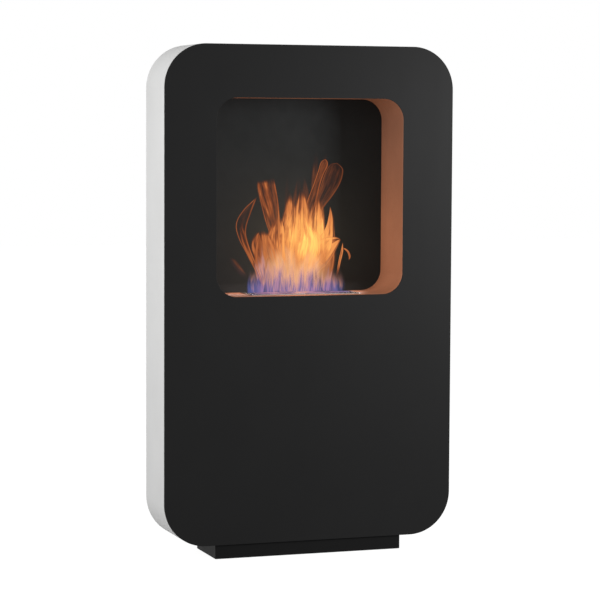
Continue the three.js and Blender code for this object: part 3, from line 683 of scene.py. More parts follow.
VENT_COUNT = 15
VENT_PITCH = 20 * MM
VENT = Vector((6, 50)) * MM
LOWER_VENT_HEIGHT = 80 * MM
UPPER_VENT_MARGIN = 145 * MM
KEYHOLE_X = 180 * MM
KEYHOLE_MARGIN = 42 * MM
KEYHOLE_RISE = 14 * MM
KEYHOLE_HEAD = 7 * MM
KEYHOLE_NECK = 3.5 * MM
WINDOW_RADIUS = 10 * MM
HANGER_SHEET = 2 * MM
HANGER_BEND = 3 * MM


def rear_cover():
    width, height = cover_high.x - cover_low.x, cover_high.z - cover_low.z
    inset = (housing_width - width) / 2
    outer = rounded(width, height, HOUSING_RADIUS - inset, housing_mid, CORNER)
    holes = []
    for row_z in (band_low.z + LOWER_VENT_HEIGHT, band_high.z - UPPER_VENT_MARGIN):
        for i in range(VENT_COUNT):
            x = (i - (VENT_COUNT - 1) / 2) * VENT_PITCH
            holes.append(rounded(VENT.x, VENT.y, VENT.x / 2, (x, row_z), SMALL_CORNER))
    window_height = 2 * WINDOW_RADIUS + KEYHOLE_RISE
    window_z = band_high.z - KEYHOLE_MARGIN + KEYHOLE_RISE / 2
    for side in (-1, 1):
        holes.append(rounded(2 * WINDOW_RADIUS, window_height, WINDOW_RADIUS, (side * KEYHOLE_X, window_z)))
    countersink = [
        (0, cover_low.y),
        (0, cover_high.y - SCREW_HEAD_DEPTH),
        (SCREW_HEAD - SCREW_RADIUS, cover_high.y),
    ]
    holes += [(hole, countersink) for hole in clearance_holes(cover_screws, SCREW_RADIUS, upright)]

    def build(mesh):
        plate(mesh, outer, holes, cover_low.y, cover_high.y, COVER_EDGE)

    made = piece("rear_sheet", build, dark_grey)
    finished(made, "housing", "dark_grey", "rear_cover")


def hanger_plate():
    low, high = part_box("hanger_plate")
    front, bend = high.y - HANGER_SHEET, HANGER_BEND
    section = [
        (front, high.z),
        *quarter(high.y - bend, low.z + bend, bend - HANGER_SHEET, 0, turn=-1),
        (low.y, low.z + HANGER_SHEET),
        (low.y, low.z),
        *quarter(high.y - bend, low.z + bend, bend, 3),
        (high.y, high.z),
    ]

    def keyholes(mesh):
        head_z = band_high.z - KEYHOLE_MARGIN
        heads = [Vector((side * KEYHOLE_X, 0, head_z)) for side in (-1, 1)]
        rods(mesh, heads, KEYHOLE_HEAD, front - MM, high.y + MM, ALONG_Y)
        for head in heads:
            mid = (head.x, head_z + KEYHOLE_RISE / 2)
            neck = rounded(2 * KEYHOLE_NECK, KEYHOLE_RISE + 2 * KEYHOLE_NECK, KEYHOLE_NECK, mid, SMALL_CORNER)
            loft(mesh, neck, [(0, front - MM), (0, high.y + MM)], upright)

    made = piece("wall_bracket", lambda mesh: run_along_x(mesh, section, low.x, high.x), galvanised)
    combine(made, keyholes)
    top_screws = [n for n in cover_screws if low.z < centre_of(n).z]
    combine(made, lambda mesh: drill(mesh, top_screws, SCREW_RADIUS, high.y, -4 * MM, ALONG_Y))
    finished(made, "housing", "galvanised", "hanger_plate")


# ---------------------------------------------------------------- fasteners

KEY_FLATS = 2.5 * MM  # of a screw's hexagonal recess
COUNTERSUNK_RECESS = 1.1 * MM
PAN_RECESS = 1.2 * MM
PAN_HEAD_DEPTH = 2 * MM
PAN_DOME = 1.2 * MM
NUT_CHAMFER = 0.6 * MM
THREAD_PLAY = 0.05 * MM
BOLT_HEAD_DEPTH = 7.2 * MM
BOLT_FLANGE = 1.6 * MM
BOLT_FLATS = 13 * MM


def turned_piece(node, profile, axis, material, facets=32):
    """A piece turned about the middle line of a node's box, from its low end."""
    low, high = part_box(node)
    middle = (low + high) / 2
    start = middle + (low - middle).dot(axis) * axis
    return piece(node + "_fine", lambda mesh: turned(mesh, profile, start, axis, facets), material)


def countersunk_head(length):
    seat, bevel = length - SCREW_HEAD_DEPTH, 0.15 * MM
    return [(SCREW_RADIUS, seat), (SCREW_HEAD, length - bevel), (SCREW_HEAD - bevel, length)]


def pan_head(length):
    low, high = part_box(shield_screws[0])
    radius = (high.x - low.x) / 2
    seat = length - PAN_HEAD_DEPTH
    dome = quarter(radius - PAN_DOME, length - PAN_DOME, PAN_DOME, 0, 5)
    return [(SCREW_RADIUS, seat), (radius, seat), *dome]


def recessed_screws(nodes, head, recess_depth):
    """Screws with a recess for a hexagonal key. head gives the profile of the head from the length."""
    for node in nodes:
        low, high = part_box(node)
        length = high.y - low.y
        point = [(0, 0), (SCREW_RADIUS - 0.4 * MM, 0), (SCREW_RADIUS, 0.5 * MM)]
        made = turned_piece(node, [*point, *head(length), (0, length)], ALONG_Y, zinc)
        recess = hexagon(KEY_FLATS, flat(centre_of(node), upright))
        rim = [(0, high.y - recess_depth), (0, high.y + MM)]
        combine(made, lambda mesh: loft(mesh, recess, rim, upright))
        finished(made, "housing", "zinc", node, angle=30)


def hex_nuts():
    """Chamfered nuts on their studs."""
    for node in panel_nuts + liner_nuts + tray_nuts:
        low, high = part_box(node)
        middle = (low + high) / 2
        place, axis, flats = upright, ALONG_Y, high.z - low.z
        if node in tray_nuts:
            place, axis, flats = lying, ALONG_Z, high.y - low.y
        start, end = low.dot(axis), high.dot(axis)
        length, corner = end - start, flats / math.sqrt(3)
        cone = [
            (0, 0), (corner - NUT_CHAMFER, 0), (corner, NUT_CHAMFER),
            (corner, length - NUT_CHAMFER), (corner - NUT_CHAMFER, length), (0, length),
        ]
        outline = hexagon(flats, flat(middle, place))
        made = piece(node + "_fine", lambda mesh: loft(mesh, outline, [(0, start), (0, end)], place), zinc)
        combine(made, lambda mesh: turned(mesh, cone, middle - axis * length / 2, axis, 36), "INTERSECT")
        bore = STUD_RADIUS + THREAD_PLAY
        combine(made, lambda mesh: rods(mesh, [middle], bore, start - MM, end + MM, axis))
        finished(made, "housing", "zinc", node, angle=25)


def flanged_bolts():
    """Hexagonal heads on round flanges."""
    for node in plinth_bolts:
        low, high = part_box(node)
        radius = (high.x - low.x) / 2
        seat = high.z - BOLT_HEAD_DEPTH - low.z
        profile = [
            (0, 0), (BOLT_RADIUS - 0.7 * MM, 0), (BOLT_RADIUS, 0.7 * MM), (BOLT_RADIUS, seat),
            (radius - 0.2 * MM, seat), (radius, seat + 0.3 * MM), (radius - 0.4 * MM, seat + 0.7 * MM),
            (6.6 * MM, seat + BOLT_FLANGE), (0, seat + BOLT_FLANGE),
        ]
        made = turned_piece(node, profile, ALONG_Z, zinc)
        head = hexagon(BOLT_FLATS, flat(centre_of(node), lying))
        rim = [(0, low.z + seat + 0.8 * MM), (0, high.z - 0.6 * MM), (-0.9 * MM, high.z)]
        combine(made, lambda mesh: loft(mesh, head, rim), "UNION")
        finished(made, "housing", "zinc", node, angle=25)


# ---------------------------------------------------------------- firebox

BURNER_PLAY = 1 * MM
STUD_PAST_NUT = 1.5 * MM


def firebox_liner():
    front, back = liner_low.y, liner_high.y
    section = folded_channel(front, back, LINER_BEND, LINER_FRONT_FLANGE, LINER_BACK_FLANGE)
    outwards = [(-inset, y) for inset, y in section]

    def build(mesh):
        swept_frame(mesh, outwards, opening_width, opening_height, OPENING_RADIUS, opening_mid[1])

    def holes(mesh):
        hole = node_outline("burner_tank", TANK_RADIUS + TANK_LIP, -BURNER_PLAY)
        loft(mesh, hole, [(0, opening_bottom - DRILLED), (0, opening_bottom + MM)])
        drill(mesh, liner_nuts, STUD_RADIUS, front, DRILLED, ALONG_Y)
        drill(mesh, shield_screws, SCREW_RADIUS, back, -DRILLED, ALONG_Y)

    def studs(mesh):
        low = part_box("tray_nut_1")[0].z - STUD_PAST_NUT
        rods(mesh, [centre_of(n) for n in tray_nuts], STUD_RADIUS, low, opening_bottom - SHEET / 2, ALONG_Z)

    made = piece("liner", build, copper_brown)
    combine(made, holes)
    combine(made, studs, "UNION")
    finished(made, "housing", "copper_brown", "firebox_liner")


def fire_back():
    width, height = back_high.x - back_low.x, back_high.z - back_low.z
    outer = rounded(width, height, OPENING_RADIUS + LINER_BACK_FLANGE, opening_mid, CORNER)
    holes = clearance_holes(shield_screws, SCREW_RADIUS, upright)

    def build(mesh):
        plate(mesh, outer, holes, back_low.y, back_high.y, COVER_EDGE)

    made = piece("back_plate", build, stove_black)
    finished(made, "housing", "stove_black", "fire_back")


# ---------------------------------------------------------------- burner

FLANGE_CORNER = 3 * MM
TAB_WIDTH = 22 * MM
TAB_CORNER = 3 * MM
TAB_SETBACK = 3 * MM
HOOK_HOLE = 2.5 * MM
WOOL_CORNER = 5 * MM
WOOL_EDGE = 3 * MM
WOOL_LUMPS = 1.28 * MM
RETAINER_HOLE = 11 * MM
RETAINER_BAR = 5 * MM


def burner_top_plate():
    outer = node_outline("burner_top_plate", FLANGE_CORNER)
    slot = rounded(SLOT.x, SLOT.y, SLOT_RADIUS, (0, slot_mid_y), SMALL_CORNER)

    def build(mesh):
        plate(mesh, outer, [slot], burner_low.z, burner_high.z, edge=0.35 * MM, place=lying)

    made = piece("burner_plate", build, burner_steel)
    finished(made, "burner", "stainless", "burner_top_plate")


def burner_tank():
    low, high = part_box("burner_tank")
    wall, bend = THIN_SHEET, TANK_BOTTOM_BEND
    outline = node_outline("burner_tank", TANK_RADIUS, TANK_LIP)
    outer_bend = [(u, low.z + v) for u, v in quarter(-bend, bend, bend, 3)]
    inner_bend = [(u, low.z + v) for u, v in quarter(-bend, bend, bend - wall, 0, turn=-1)]
    profile = [
        *outer_bend,
        (0, high.z - wall),
        (TANK_LIP - FINE_EDGE, high.z - wall),
        (TANK_LIP, high.z - wall + FINE_EDGE),
        (TANK_LIP, high.z - FINE_EDGE),
        (TANK_LIP - FINE_EDGE, high.z),
        (-wall + 0.5 * MM, high.z),
        (-wall, high.z - 0.5 * MM),
        *inner_bend,
    ]
    made = piece("tank", lambda mesh: loft(mesh, outline, profile), tank_steel)
    finished(made, "burner", "stainless", "burner_tank")


def shutter():
    low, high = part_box("shutter")
    outer = node_outline("shutter", FLANGE_CORNER)
    plate_top = low.z + THIN_SHEET
    tab_y = low.y + TAB_SETBACK

    def build(mesh):
        plate(mesh, outer, [], low.z, plate_top, FINE_EDGE, lying)

    def tab(mesh):
        height = high.z - low.z - THIN_SHEET / 2
        outline = rounded(TAB_WIDTH, height, TAB_CORNER, (0, high.z - height / 2), SMALL_CORNER)
        hook_hole = circle(HOOK_HOLE, (0, (plate_top + high.z) / 2))
        plate(mesh, outline, [hook_hole], tab_y, tab_y + THIN_SHEET, FINE_EDGE)

    made = piece("slider", build, tank_steel)
    combine(made, tab, "UNION")
    finished(made, "shutter", "stainless", "shutter")


def ceramic_wool():
    """The wool block with a felted, uneven surface."""
    low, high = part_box("ceramic_wool")

    def build(mesh):
        outline = node_outline("ceramic_wool", WOOL_CORNER)
        soft = [(u, high.z + v) for u, v in quarter(-WOOL_EDGE, -WOOL_EDGE, WOOL_EDGE, 0, 4)]
        loft(mesh, outline, [(-WOOL_EDGE, low.z), (0, low.z + WOOL_EDGE), *soft])
        caps = [f for f in mesh.faces if len(f.verts) > 4]
        bmesh.ops.inset_region(mesh, faces=caps, thickness=8 * MM)

    made = piece("wool", build, wool_white)
    remesh = made.modifiers.new("felt", "REMESH")
    remesh.mode = "VOXEL"
    remesh.voxel_size = 2.2 * MM
    texture = bpy.data.textures.new("felt", "CLOUDS")
    texture.noise_scale = 9 * MM
    lumps = made.modifiers.new("lumps", "DISPLACE")
    lumps.texture = texture
    lumps.texture_coords = "LOCAL"
    lumps.strength = WOOL_LUMPS
    lumps.mid_level = 1.0
    apply_modifiers(made)
    made.data.shade_smooth()
    stand_for(made, "burner", "ceramic_fibre", "ceramic_wool")


def wool_retainer():
    low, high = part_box("wool_retainer")
    outer = node_outline("wool_retainer", WOOL_CORNER)
    pitch = RETAINER_HOLE + RETAINER_BAR
    columns = int((high.x - low.x - RETAINER_BAR) / pitch)
    rows = int((high.y - low.y - RETAINER_BAR) / pitch)
    holes = []
    for i in range(columns):
        for j in range(rows):
            mid = ((i - (columns - 1) / 2) * pitch, burner_mid_y + (j - (rows - 1) / 2) * pitch)
            holes.append(rounded(RETAINER_HOLE, RETAINER_HOLE, 1.2 * MM, mid, 4))

    def build(mesh):
        plate(mesh, outer, holes, low.z, high.z, edge=0.15 * MM, place=lying)

    made = piece("retainer", build, tank_steel)
    finished(made, "burner", "stainless", "wool_retainer")


# ---------------------------------------------------------------- plinth

PLINTH_SHEET = 2 * MM
FOOT_STEM = 3 * MM


def plinth():
    low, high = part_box("plinth")
    outline = node_outline("plinth", PLINTH_RADIUS)
    bend, lip = PLINTH_TOP_BEND, 0.3 * MM
    profile = [
        (-PLINTH_SHEET, high.z - PLINTH_SHEET),
        (-PLINTH_SHEET, low.z + lip),
        (-PLINTH_SHEET + lip, low.z),
        (-lip, low.z),
        (0, low.z + lip),
        *((u, high.z + v) for u, v in quarter(-bend, -bend, bend, 0)),
    ]
    made = piece("plinth_cover", lambda mesh: loft(mesh, outline, profile), plinth_black)
    combine(made, lambda mesh: drill(mesh, plinth_bolts, BOLT_RADIUS, high.z, -DRILLED, ALONG_Z))
    finished(made, "housing", "satin_black", "plinth")


def ballast_plate():
    low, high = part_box("ballast_plate")
    outer = node_outline("ballast_plate", PLINTH_RADIUS)
    holes = clearance_holes(plinth_bolts, BOLT_RADIUS, lying) + clearance_holes(rubber_feet, FOOT_STEM, lying)

    def build(mesh):
        plate(mesh, outer, holes, low.z, high.z, edge=0.4 * MM, place=lying)

    made = piece("weight", build, raw_steel)
    finished(made, "housing", "raw_steel", "ballast_plate")


def moulded_feet():
    """Round rubber feet with a ring pressed into the sole."""
    seat_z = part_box("ballast_plate")[0].z - 0.3 * MM
    for node in rubber_feet:
        low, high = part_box(node)
        top, height = seat_z - low.z, high.z - low.z
        widest = (high.x - low.x) / 2
        profile = [
            (0, 0.8 * MM), (6 * MM, 0.8 * MM), (7 * MM, 0), (12.8 * MM, 0), (14 * MM, 1.2 * MM),
            (widest - 0.8 * MM, top - 2 * MM), (widest, top - 0.8 * MM), (widest - 0.6 * MM, top),
            (FOOT_STEM, top), (FOOT_STEM, height - 0.5 * MM), (FOOT_STEM - 0.5 * MM, height), (0, height),
        ]
        made = turned_piece(node, profile, ALONG_Z, black_rubber, 40)
        finished(made, "housing", "black_rubber", node)


front_panel()
side_band()
rear_cover()
hanger_plate()
recessed_screws(cover_screws, countersunk_head, COUNTERSUNK_RECESS)
recessed_screws(shield_screws, pan_head, PAN_RECESS)
hex_nuts()
flanged_bolts()
firebox_liner()
fire_back()
burner_top_plate()
burner_tank()
shutter()
ceramic_wool()
wool_retainer()
plinth()
ballast_plate()
moulded_feet()

dress("cross_rail", galvanised)
dress("heat_shield", galvanised)
dress("overflow_tray", galvanised)
dress("base_plate", raw_steel)
dress("shutter_guide_left", tank_steel)
dress("shutter_guide_right", tank_steel)

# ---------------------------------------------------------------- flame

# The flame's own sizes are in millimetres.
FLAME_FOOT = 537
FLAME_CORE = Vector((8, 645))  # x and z of its hottest part
FLAME_DEPTH = (-29, -5)  # y, just inside the slot's front and back edges
FLAME_BRIGHTNESS = 1.6
FLAME_STEPS = 26
FLAME_RIBS = 8
FLAME_VALUES = ("inset", "soft", "grain", "rise", "heat", "rim", "veil", "cool", "seed")
LOOK_AHEAD = 0.02  # share of a spine over which its direction is taken
STREAK_WIDTH = 9
STREAK_LENGTH = 70
BODY_TONGUES = 40
BODY_SPAN = (-96, 74, 2)  # left end, right end and thickest place of the body's foot
BODY_OUTLINE = (
    (-114, 590), (-98, 640), (-84, 656), (-62, 650), (-45, 676), (-34, 690), (-24, 728), (-12, 714),
    (-4, 738), (10, 718), (29, 724), (38, 700), (46, 668), (60, 654), (78, 642), (92, 590),
)
FIRE_COLOURS = (  # from the coolest to the hottest
    (0.0, (0.05, 0.013, 0.008)),
    (0.3, (0.22, 0.06, 0.021)),
    (0.5, (0.46, 0.15, 0.045)),
    (0.68, (0.68, 0.28, 0.075)),
    (0.84, (0.84, 0.46, 0.11)),
    (1.0, (0.86, 0.8, 0.27)),
)
PALE_ORANGE = (0.74, 0.4, 0.19)
PINK = (0.45, 0.215, 0.18)
LILAC = (0.24, 0.13, 0.27)
DEEP_BLUE = (0.022, 0.055, 0.2)

chance = random.Random(7)


def through(points, t):
    """A smooth curve through the points, for t from 0 to 1."""
    spans = len(points) - 1
    i = min(int(t * spans), spans - 1)
    f = t * spans - i
    start, end = points[i], points[i + 1]
    before = points[i - 1] if i else 2 * start - end
    after = points[i + 2] if i + 2 < len(points) else 2 * end - start
    square = 2 * before - 5 * start + 4 * end - after
    cube = 3 * start - before - 3 * end + after
    return (2 * start + (end - before) * f + square * f ** 2 + cube * f ** 3) / 2


def faded(t, foot, tip):
    """0 at both ends of a tongue and 1 between, over the shares foot and tip."""
    ease = 1.0
    for distance, share in ((t, foot), (1 - t, tip)):
        if share:
            part = min(1.0, distance / share)
            ease *= part * part * (3 - 2 * part)
    return ease


def tongue(mesh, spine, depth, heat, rim, veil, fades, bulge, soft=2.5, cool=1.0):
    """A thin curved sheet of flame along a spine of (x, z, width), in millimetres.

    heat runs from its foot to its tip. rim is how strongly its edges glow, veil how dense it is between
    them, fades the shares over which it starts and ends, bulge how far its middle stands back, soft how
    wide its edge fades, and cool how far its foot takes the pale and blue colours.
    """
    floats = mesh.verts.layers.float
    layers = [floats.get(name) or floats.new(name) for name in FLAME_VALUES]
    points = [Vector(point) for point in spine]
    widest = max(point.z for point in points)
    length = sum((b.xy - a.xy).length for a, b in zip(points, points[1:]))
    seed = chance.uniform(0, 50)
    rows = []
    for step in range(FLAME_STEPS + 1):
        t = step / FLAME_STEPS
        here = through(points, t)
        ahead = through(points, min(1, t + LOOK_AHEAD))
        behind = through(points, max(0, t - LOOK_AHEAD))
        heading = (ahead.xy - behind.xy).normalized()
        beside = Vector((heading.y, -heading.x))
        width = max(0.0, here.z)
        strength = faded(t, *fades)
        warmth = heat[0] + (heat[1] - heat[0]) * t
        row = []
        for rib in range(FLAME_RIBS + 1):
            share = rib / FLAME_RIBS
            side = here.xy + beside * width * (share - 0.5)
            y = depth + bulge * (1 - (2 * share - 1) ** 2)
            vert = mesh.verts.new(Vector((side.x, y, side.y)) * MM)
            inset = min(share, 1 - share) * width
            streak = (share * widest / STREAK_WIDTH, t * length / STREAK_LENGTH)
            values = (inset, soft, *streak, warmth, rim * strength, veil * strength, cool, seed)
            for layer, value in zip(layers, values):
                vert[layer] = value
            row.append(vert)
        rows.append(row)
    for low_row, high_row in zip(rows, rows[1:]):
        for i in range(FLAME_RIBS):
            mesh.faces.new((low_row[i], low_row[i + 1], high_row[i + 1], high_row[i]))


def flame_top(x):
    """Height of the flame's dense body over x."""
    for (left, low), (right, high) in zip(BODY_OUTLINE, BODY_OUTLINE[1:]):
        if left <= x <= right:
            return low + (high - low) * (x - left) / (right - left)
    return FLAME_FOOT


def attribute(finish, name):
    return finish.add("ShaderNodeAttribute", {"attribute_name": name}).outputs["Fac"]


def flame_density(finish, streaks):
    """How much a sheet hides: a glowing rim, and a streaky veil between."""
    inset = attribute(finish, "inset")
    soft_edge = finish.eased(finish.maths("DIVIDE", inset, attribute(finish, "soft")), 0.0, 1.0)
    line = finish.times(finish.eased(inset, 0.0, 0.8), finish.eased(inset, 3.6, 1.2))
    rim = finish.times(attribute(finish, "rim"), line)
    cloud = finish.times(attribute(finish, "veil"), soft_edge)
    cloud = finish.times(cloud, finish.spread(streaks, 0.25, 1.5, 0.3, 0.7))
    return finish.plus(rim, cloud, clamp=True)


def fire_colour(finish, streaks, density, x, z):
    """Dull red to pale yellow, hottest where the flame is dense and near its core."""
    core = finish.add("ShaderNodeCombineXYZ", X=FLAME_CORE.x * MM, Z=FLAME_CORE.y * MM).outputs["Vector"]
    here = finish.add("ShaderNodeCombineXYZ", X=x, Z=z).outputs["Vector"]
    away = finish.add("ShaderNodeVectorMath", {"operation": "DISTANCE"})
    finish.feed(away.inputs[0], here)
    finish.feed(away.inputs[1], core)
    near_core = finish.eased(away.outputs["Value"], 105 * MM, 10 * MM, 0.0, 0.48)
    hotter = finish.plus(finish.times(density, 0.3), finish.spread(streaks, -0.1, 0.12))
    temperature = finish.plus(finish.plus(attribute(finish, "heat"), near_core), hotter, clamp=True)
    ramp = finish.add("ShaderNodeValToRGB", Fac=temperature)
    elements = ramp.color_ramp.elements
    while len(elements) < len(FIRE_COLOURS):
        elements.new(0.5)
    for element, (position, colour) in zip(elements, FIRE_COLOURS):
        element.position = position
        element.color = (*colour, 1)
    return ramp.outputs["Color"]


def cooled_foot(finish, colour, streaks, x, z):
    """Pale, then pink, then blue down to the foot, and bluer at both ends."""
    from_middle = finish.maths("ABSOLUTE", finish.plus(x, 13 * MM))
    at_ends = finish.eased(from_middle, 60 * MM, 98 * MM)
    drift = finish.noise(1.0, 2, finish.stretched(30, 0, 9))
    waver = finish.spread(finish.plus(streaks, drift), -40 * MM, 40 * MM, 0.7, 1.3)
    height = finish.plus(finish.maths("SUBTRACT", z, finish.times(at_ends, 16 * MM)), waver)
    cool = attribute(finish, "cool")
    inner = finish.times(cool, finish.eased(from_middle, 85 * MM, 35 * MM))
    pale = finish.times(finish.eased(height, 625 * MM, 580 * MM, 0, 0.65), inner)
    pinkish = finish.times(finish.eased(height, 592 * MM, 560 * MM, 0, 0.85), cool)
    blue = finish.times(finish.eased(height, 570 * MM, 536 * MM, 0, 0.9), cool)
    deep = finish.maths("MAXIMUM", at_ends, finish.spread(streaks, 1, 0, 0.4, 0.55))
    colour = finish.mixed(pale, colour, PALE_ORANGE)
    colour = finish.mixed(pinkish, colour, PINK)
    return finish.mixed(blue, colour, finish.mixed(deep, LILAC, DEEP_BLUE))


def flame_material():
    """Light without a surface: all emission, and see-through where the flame is thin."""
    finish = Finish("flame")
    grain, rise, seed = (attribute(finish, name) for name in ("grain", "rise", "seed"))
    weave = finish.add("ShaderNodeCombineXYZ", X=grain, Y=rise, Z=seed).outputs["Vector"]
    streaks = finish.noise(1.0, 3, weave, 0.6)
    place = finish.add("ShaderNodeSeparateXYZ", Vector=finish.place).outputs
    density = flame_density(finish, streaks)
    colour = fire_colour(finish, streaks, density, place["X"], place["Z"])
    colour = cooled_foot(finish, colour, streaks, place["X"], place["Z"])
    finish.set(Base_Color=(0, 0, 0, 1), Roughness=1.0, Specular_IOR_Level=0.0)
    finish.set(Emission_Color=colour, Emission_Strength=FLAME_BRIGHTNESS, Alpha=density)
    finish.material.cycles.emission_sampling = "NONE"
    return finish.material


def body(mesh):
    """Narrow tongues that lean and sway, as high as the outline over them."""
    for _ in range(BODY_TONGUES):
        x = chance.triangular(*BODY_SPAN)
        lean = (x - FLAME_CORE.x) * 0.08 + chance.uniform(-8, 8)
        sway = chance.uniform(-5, 5)
        top = FLAME_FOOT + (flame_top(x + lean) - FLAME_FOOT) * chance.uniform(0.6, 1.02)
        middle = (FLAME_FOOT + top) / 2
        width = chance.uniform(12, 26)
        spine = [
            (x, FLAME_FOOT, width / 2),
            (x + lean / 4, FLAME_FOOT + 26, width * 0.8),
            (x + lean / 2 + sway, middle + 12, width),
            (x + lean - sway / 2, (middle + top) / 2 + 10, width * 0.6),
            (x + lean, top, 0),
        ]
        heat = 0.7 - abs(x - FLAME_CORE.x) / 500
        y = chance.uniform(*FLAME_DEPTH)
        tongue(mesh, spine, y, (heat, heat - 0.1), 0.4, 0.5, (0.05, 0.25), chance.uniform(2, 8))


def curtains(mesh):
    """Low blue sheets over the slot, and the bright line at their foot."""
    spread_out = [(-16, 537, 202), (-16, 562, 196), (-16, 592, 170)]
    left_end = [(-107, 537, 32), (-107, 558, 32), (-105, 590, 22)]
    right_end = [(74, 537, 38), (74, 560, 38), (72, 592, 24)]
    tongue(mesh, spread_out, -8, (0.3, 0.3), 0, 0.8, (0.03, 0.9), 8, 8)
    tongue(mesh, left_end, -24, (0.15, 0.15), 0, 0.8, (0.03, 0.9), 4, 5)
    tongue(mesh, right_end, -24, (0.15, 0.15), 0, 0.5, (0.03, 0.9), 4, 12)
    slot_glow = [(-118, 538, 4), (-60, 538, 5), (0, 538, 5), (60, 538, 5), (108, 538, 4)]
    tongue(mesh, slot_glow, -30, (0.9, 0.9), 0, 1.0, (0.1, 0.1), 1, 1.5, cool=0.75)


def columns(mesh):
    """Broad soft sheets that fill the body up to its peaks."""
    left = [(-46, 556, 50), (-42, 610, 56), (-33, 655, 46), (-27, 700, 34), (-24, 744, 14)]
    middle = [(-6, 556, 60), (-6, 610, 64), (-5, 660, 50), (-4, 705, 38), (-4, 752, 16)]
    right = [(20, 556, 60), (22, 610, 62), (25, 660, 48), (28, 700, 36), (30, 742, 16)]
    far_left = [(-70, 556, 56), (-78, 600, 66), (-84, 636, 48), (-90, 668, 14)]
    far_right = [(44, 556, 40), (52, 600, 46), (60, 634, 34), (76, 654, 8)]
    for spine, heat, veil in (
        (left, (0.8, 0.55), 1.0), (middle, (0.85, 0.65), 1.2), (right, (0.85, 0.6), 1.0),
        (far_left, (0.8, 0.6), 1.2), (far_right, (0.75, 0.6), 0.8),
    ):
        tongue(mesh, spine, chance.uniform(*FLAME_DEPTH), heat, 0, veil, (0.25, 0.2), 7, 9)
    glow = [(0, 556, 90), (4, 600, 120), (8, 650, 104), (6, 710, 50)]
    tongue(mesh, glow, -12, (0.9, 0.8), 0, 1.1, (0.35, 0.4), 6, 30)
    core = [(0, 566, 56), (8, 605, 90), (14, 642, 88), (8, 672, 58), (4, 706, 38), (2, 748, 16)]
    tongue(mesh, core, -31, (1.0, 0.75), 0, 1.3, (0.35, 0.45), 2, 38)


def leaf_and_ribbon(mesh):
    """The two big curled sheets on the left."""
    left_leaf = [
        (-86, 548, 3), (-104, 590, 8), (-121, 625, 12), (-133, 654, 18), (-135, 679, 24), (-123, 704, 18),
        (-109, 724, 7), (-99, 737, 0),
    ]
    tongue(mesh, left_leaf, -26, (0.8, 0.2), 0.85, 0.2, (0.05, 0.15), 4, cool=0.4)
    leaf_fill = [(-98, 576, 4), (-113, 608, 12), (-125, 640, 15), (-133, 668, 14), (-136, 690, 4)]
    tongue(mesh, leaf_fill, -24, (0.7, 0.3), 0, 1.2, (0.3, 0.4), 4, 4, cool=0.3)
    ribbon = [
        (-38, 566, 3), (-48, 600, 8), (-55, 630, 14), (-60, 657, 22), (-65, 684, 31), (-70, 712, 37),
        (-76, 742, 39), (-81, 770, 37),
    ]
    tongue(mesh, ribbon, -18, (0.9, 0.35), 0.85, 0.55, (0.1, 0.08), 8, cool=0.3)
    ribbon_fill = [(-66, 676, 12), (-72, 702, 24), (-79, 726, 32), (-85, 750, 32), (-88, 768, 28)]
    tongue(mesh, ribbon_fill, -19, (0.3, 0.42), 0, 0.75, (0.3, 0.12), 4, 8, cool=0)


def tall_tips(mesh):
    """The thin sheets above the body, on the right."""
    tall_wisp = [
        (6, 668, 14), (18, 715, 20), (26, 740, 18), (33, 762, 15), (41, 784, 15), (47, 799, 18),
        (50, 807, 12), (51, 811, 0),
    ]
    tongue(mesh, tall_wisp, -14, (0.85, 0.55), 0.8, 0.5, (0.2, 0.0), 4)
    right_lobe = [
        (26, 690, 10), (38, 722, 24), (51, 746, 34), (62, 769, 40), (69, 787, 37), (72, 797, 27),
        (74, 803, 0),
    ]
    tongue(mesh, right_lobe, -22, (0.4, 0.15), 0.5, 0.35, (0.2, 0.0), 6)
    spike = [(36, 610, 34), (45, 638, 34), (52, 656, 24), (56, 674, 15), (58, 692, 10), (58, 716, 0)]
    tongue(mesh, spike, -26, (0.9, 0.5), 0.5, 1.6, (0.3, 0.05), 4, 3)
    faint_spike = [(72, 630, 12), (69, 655, 10), (69, 680, 6), (72, 706, 0)]
    tongue(mesh, faint_spike, -10, (0.25, 0.1), 0.3, 0.3, (0.3, 0.3), 3)


def shoulders(mesh):
    """The body's bright low parts, beside its core."""
    shoulder = [(4, 572, 30), (26, 604, 52), (48, 628, 46), (68, 641, 24), (82, 646, 0)]
    tongue(mesh, shoulder, -27, (0.95, 0.75), 0.4, 1.2, (0.3, 0.05), 5, 5)
    left_blob = [(-50, 580, 20), (-74, 604, 44), (-94, 632, 42), (-96, 654, 20), (-90, 666, 0)]
    tongue(mesh, left_blob, -20, (0.85, 0.5), 0.25, 1.2, (0.3, 0.2), 6, 8, cool=0.5)
    inner_left = [(-30, 560, 14), (-50, 600, 40), (-58, 640, 46), (-56, 672, 34), (-54, 704, 0)]
    tongue(mesh, inner_left, -24, (0.85, 0.6), 0.3, 1.0, (0.3, 0.3), 4, 5)


def curls(mesh):
    """A small curl on the right, and a stray end on the left."""
    curl_stem = [(70, 560, 4), (78, 600, 6), (83, 622, 6), (85, 642, 0)]
    tongue(mesh, curl_stem, -27, (0.7, 0.5), 0.9, 0.4, (0.3, 0.1), 2, cool=0.3)
    curl = [(84, 628, 2), (91, 625, 4), (97, 619, 5), (100, 610, 5), (98, 600, 1)]
    tongue(mesh, curl, -27, (0.5, 0.4), 0.9, 0.6, (0.2, 0.2), 2, cool=0.1)
    stray = [(-116, 566, 14), (-132, 584, 18), (-147, 602, 16), (-157, 612, 4)]
    tongue(mesh, stray, -12, (0.12, 0.12), 0, 0.4, (0.4, 0.4), 3, 8, cool=0.1)


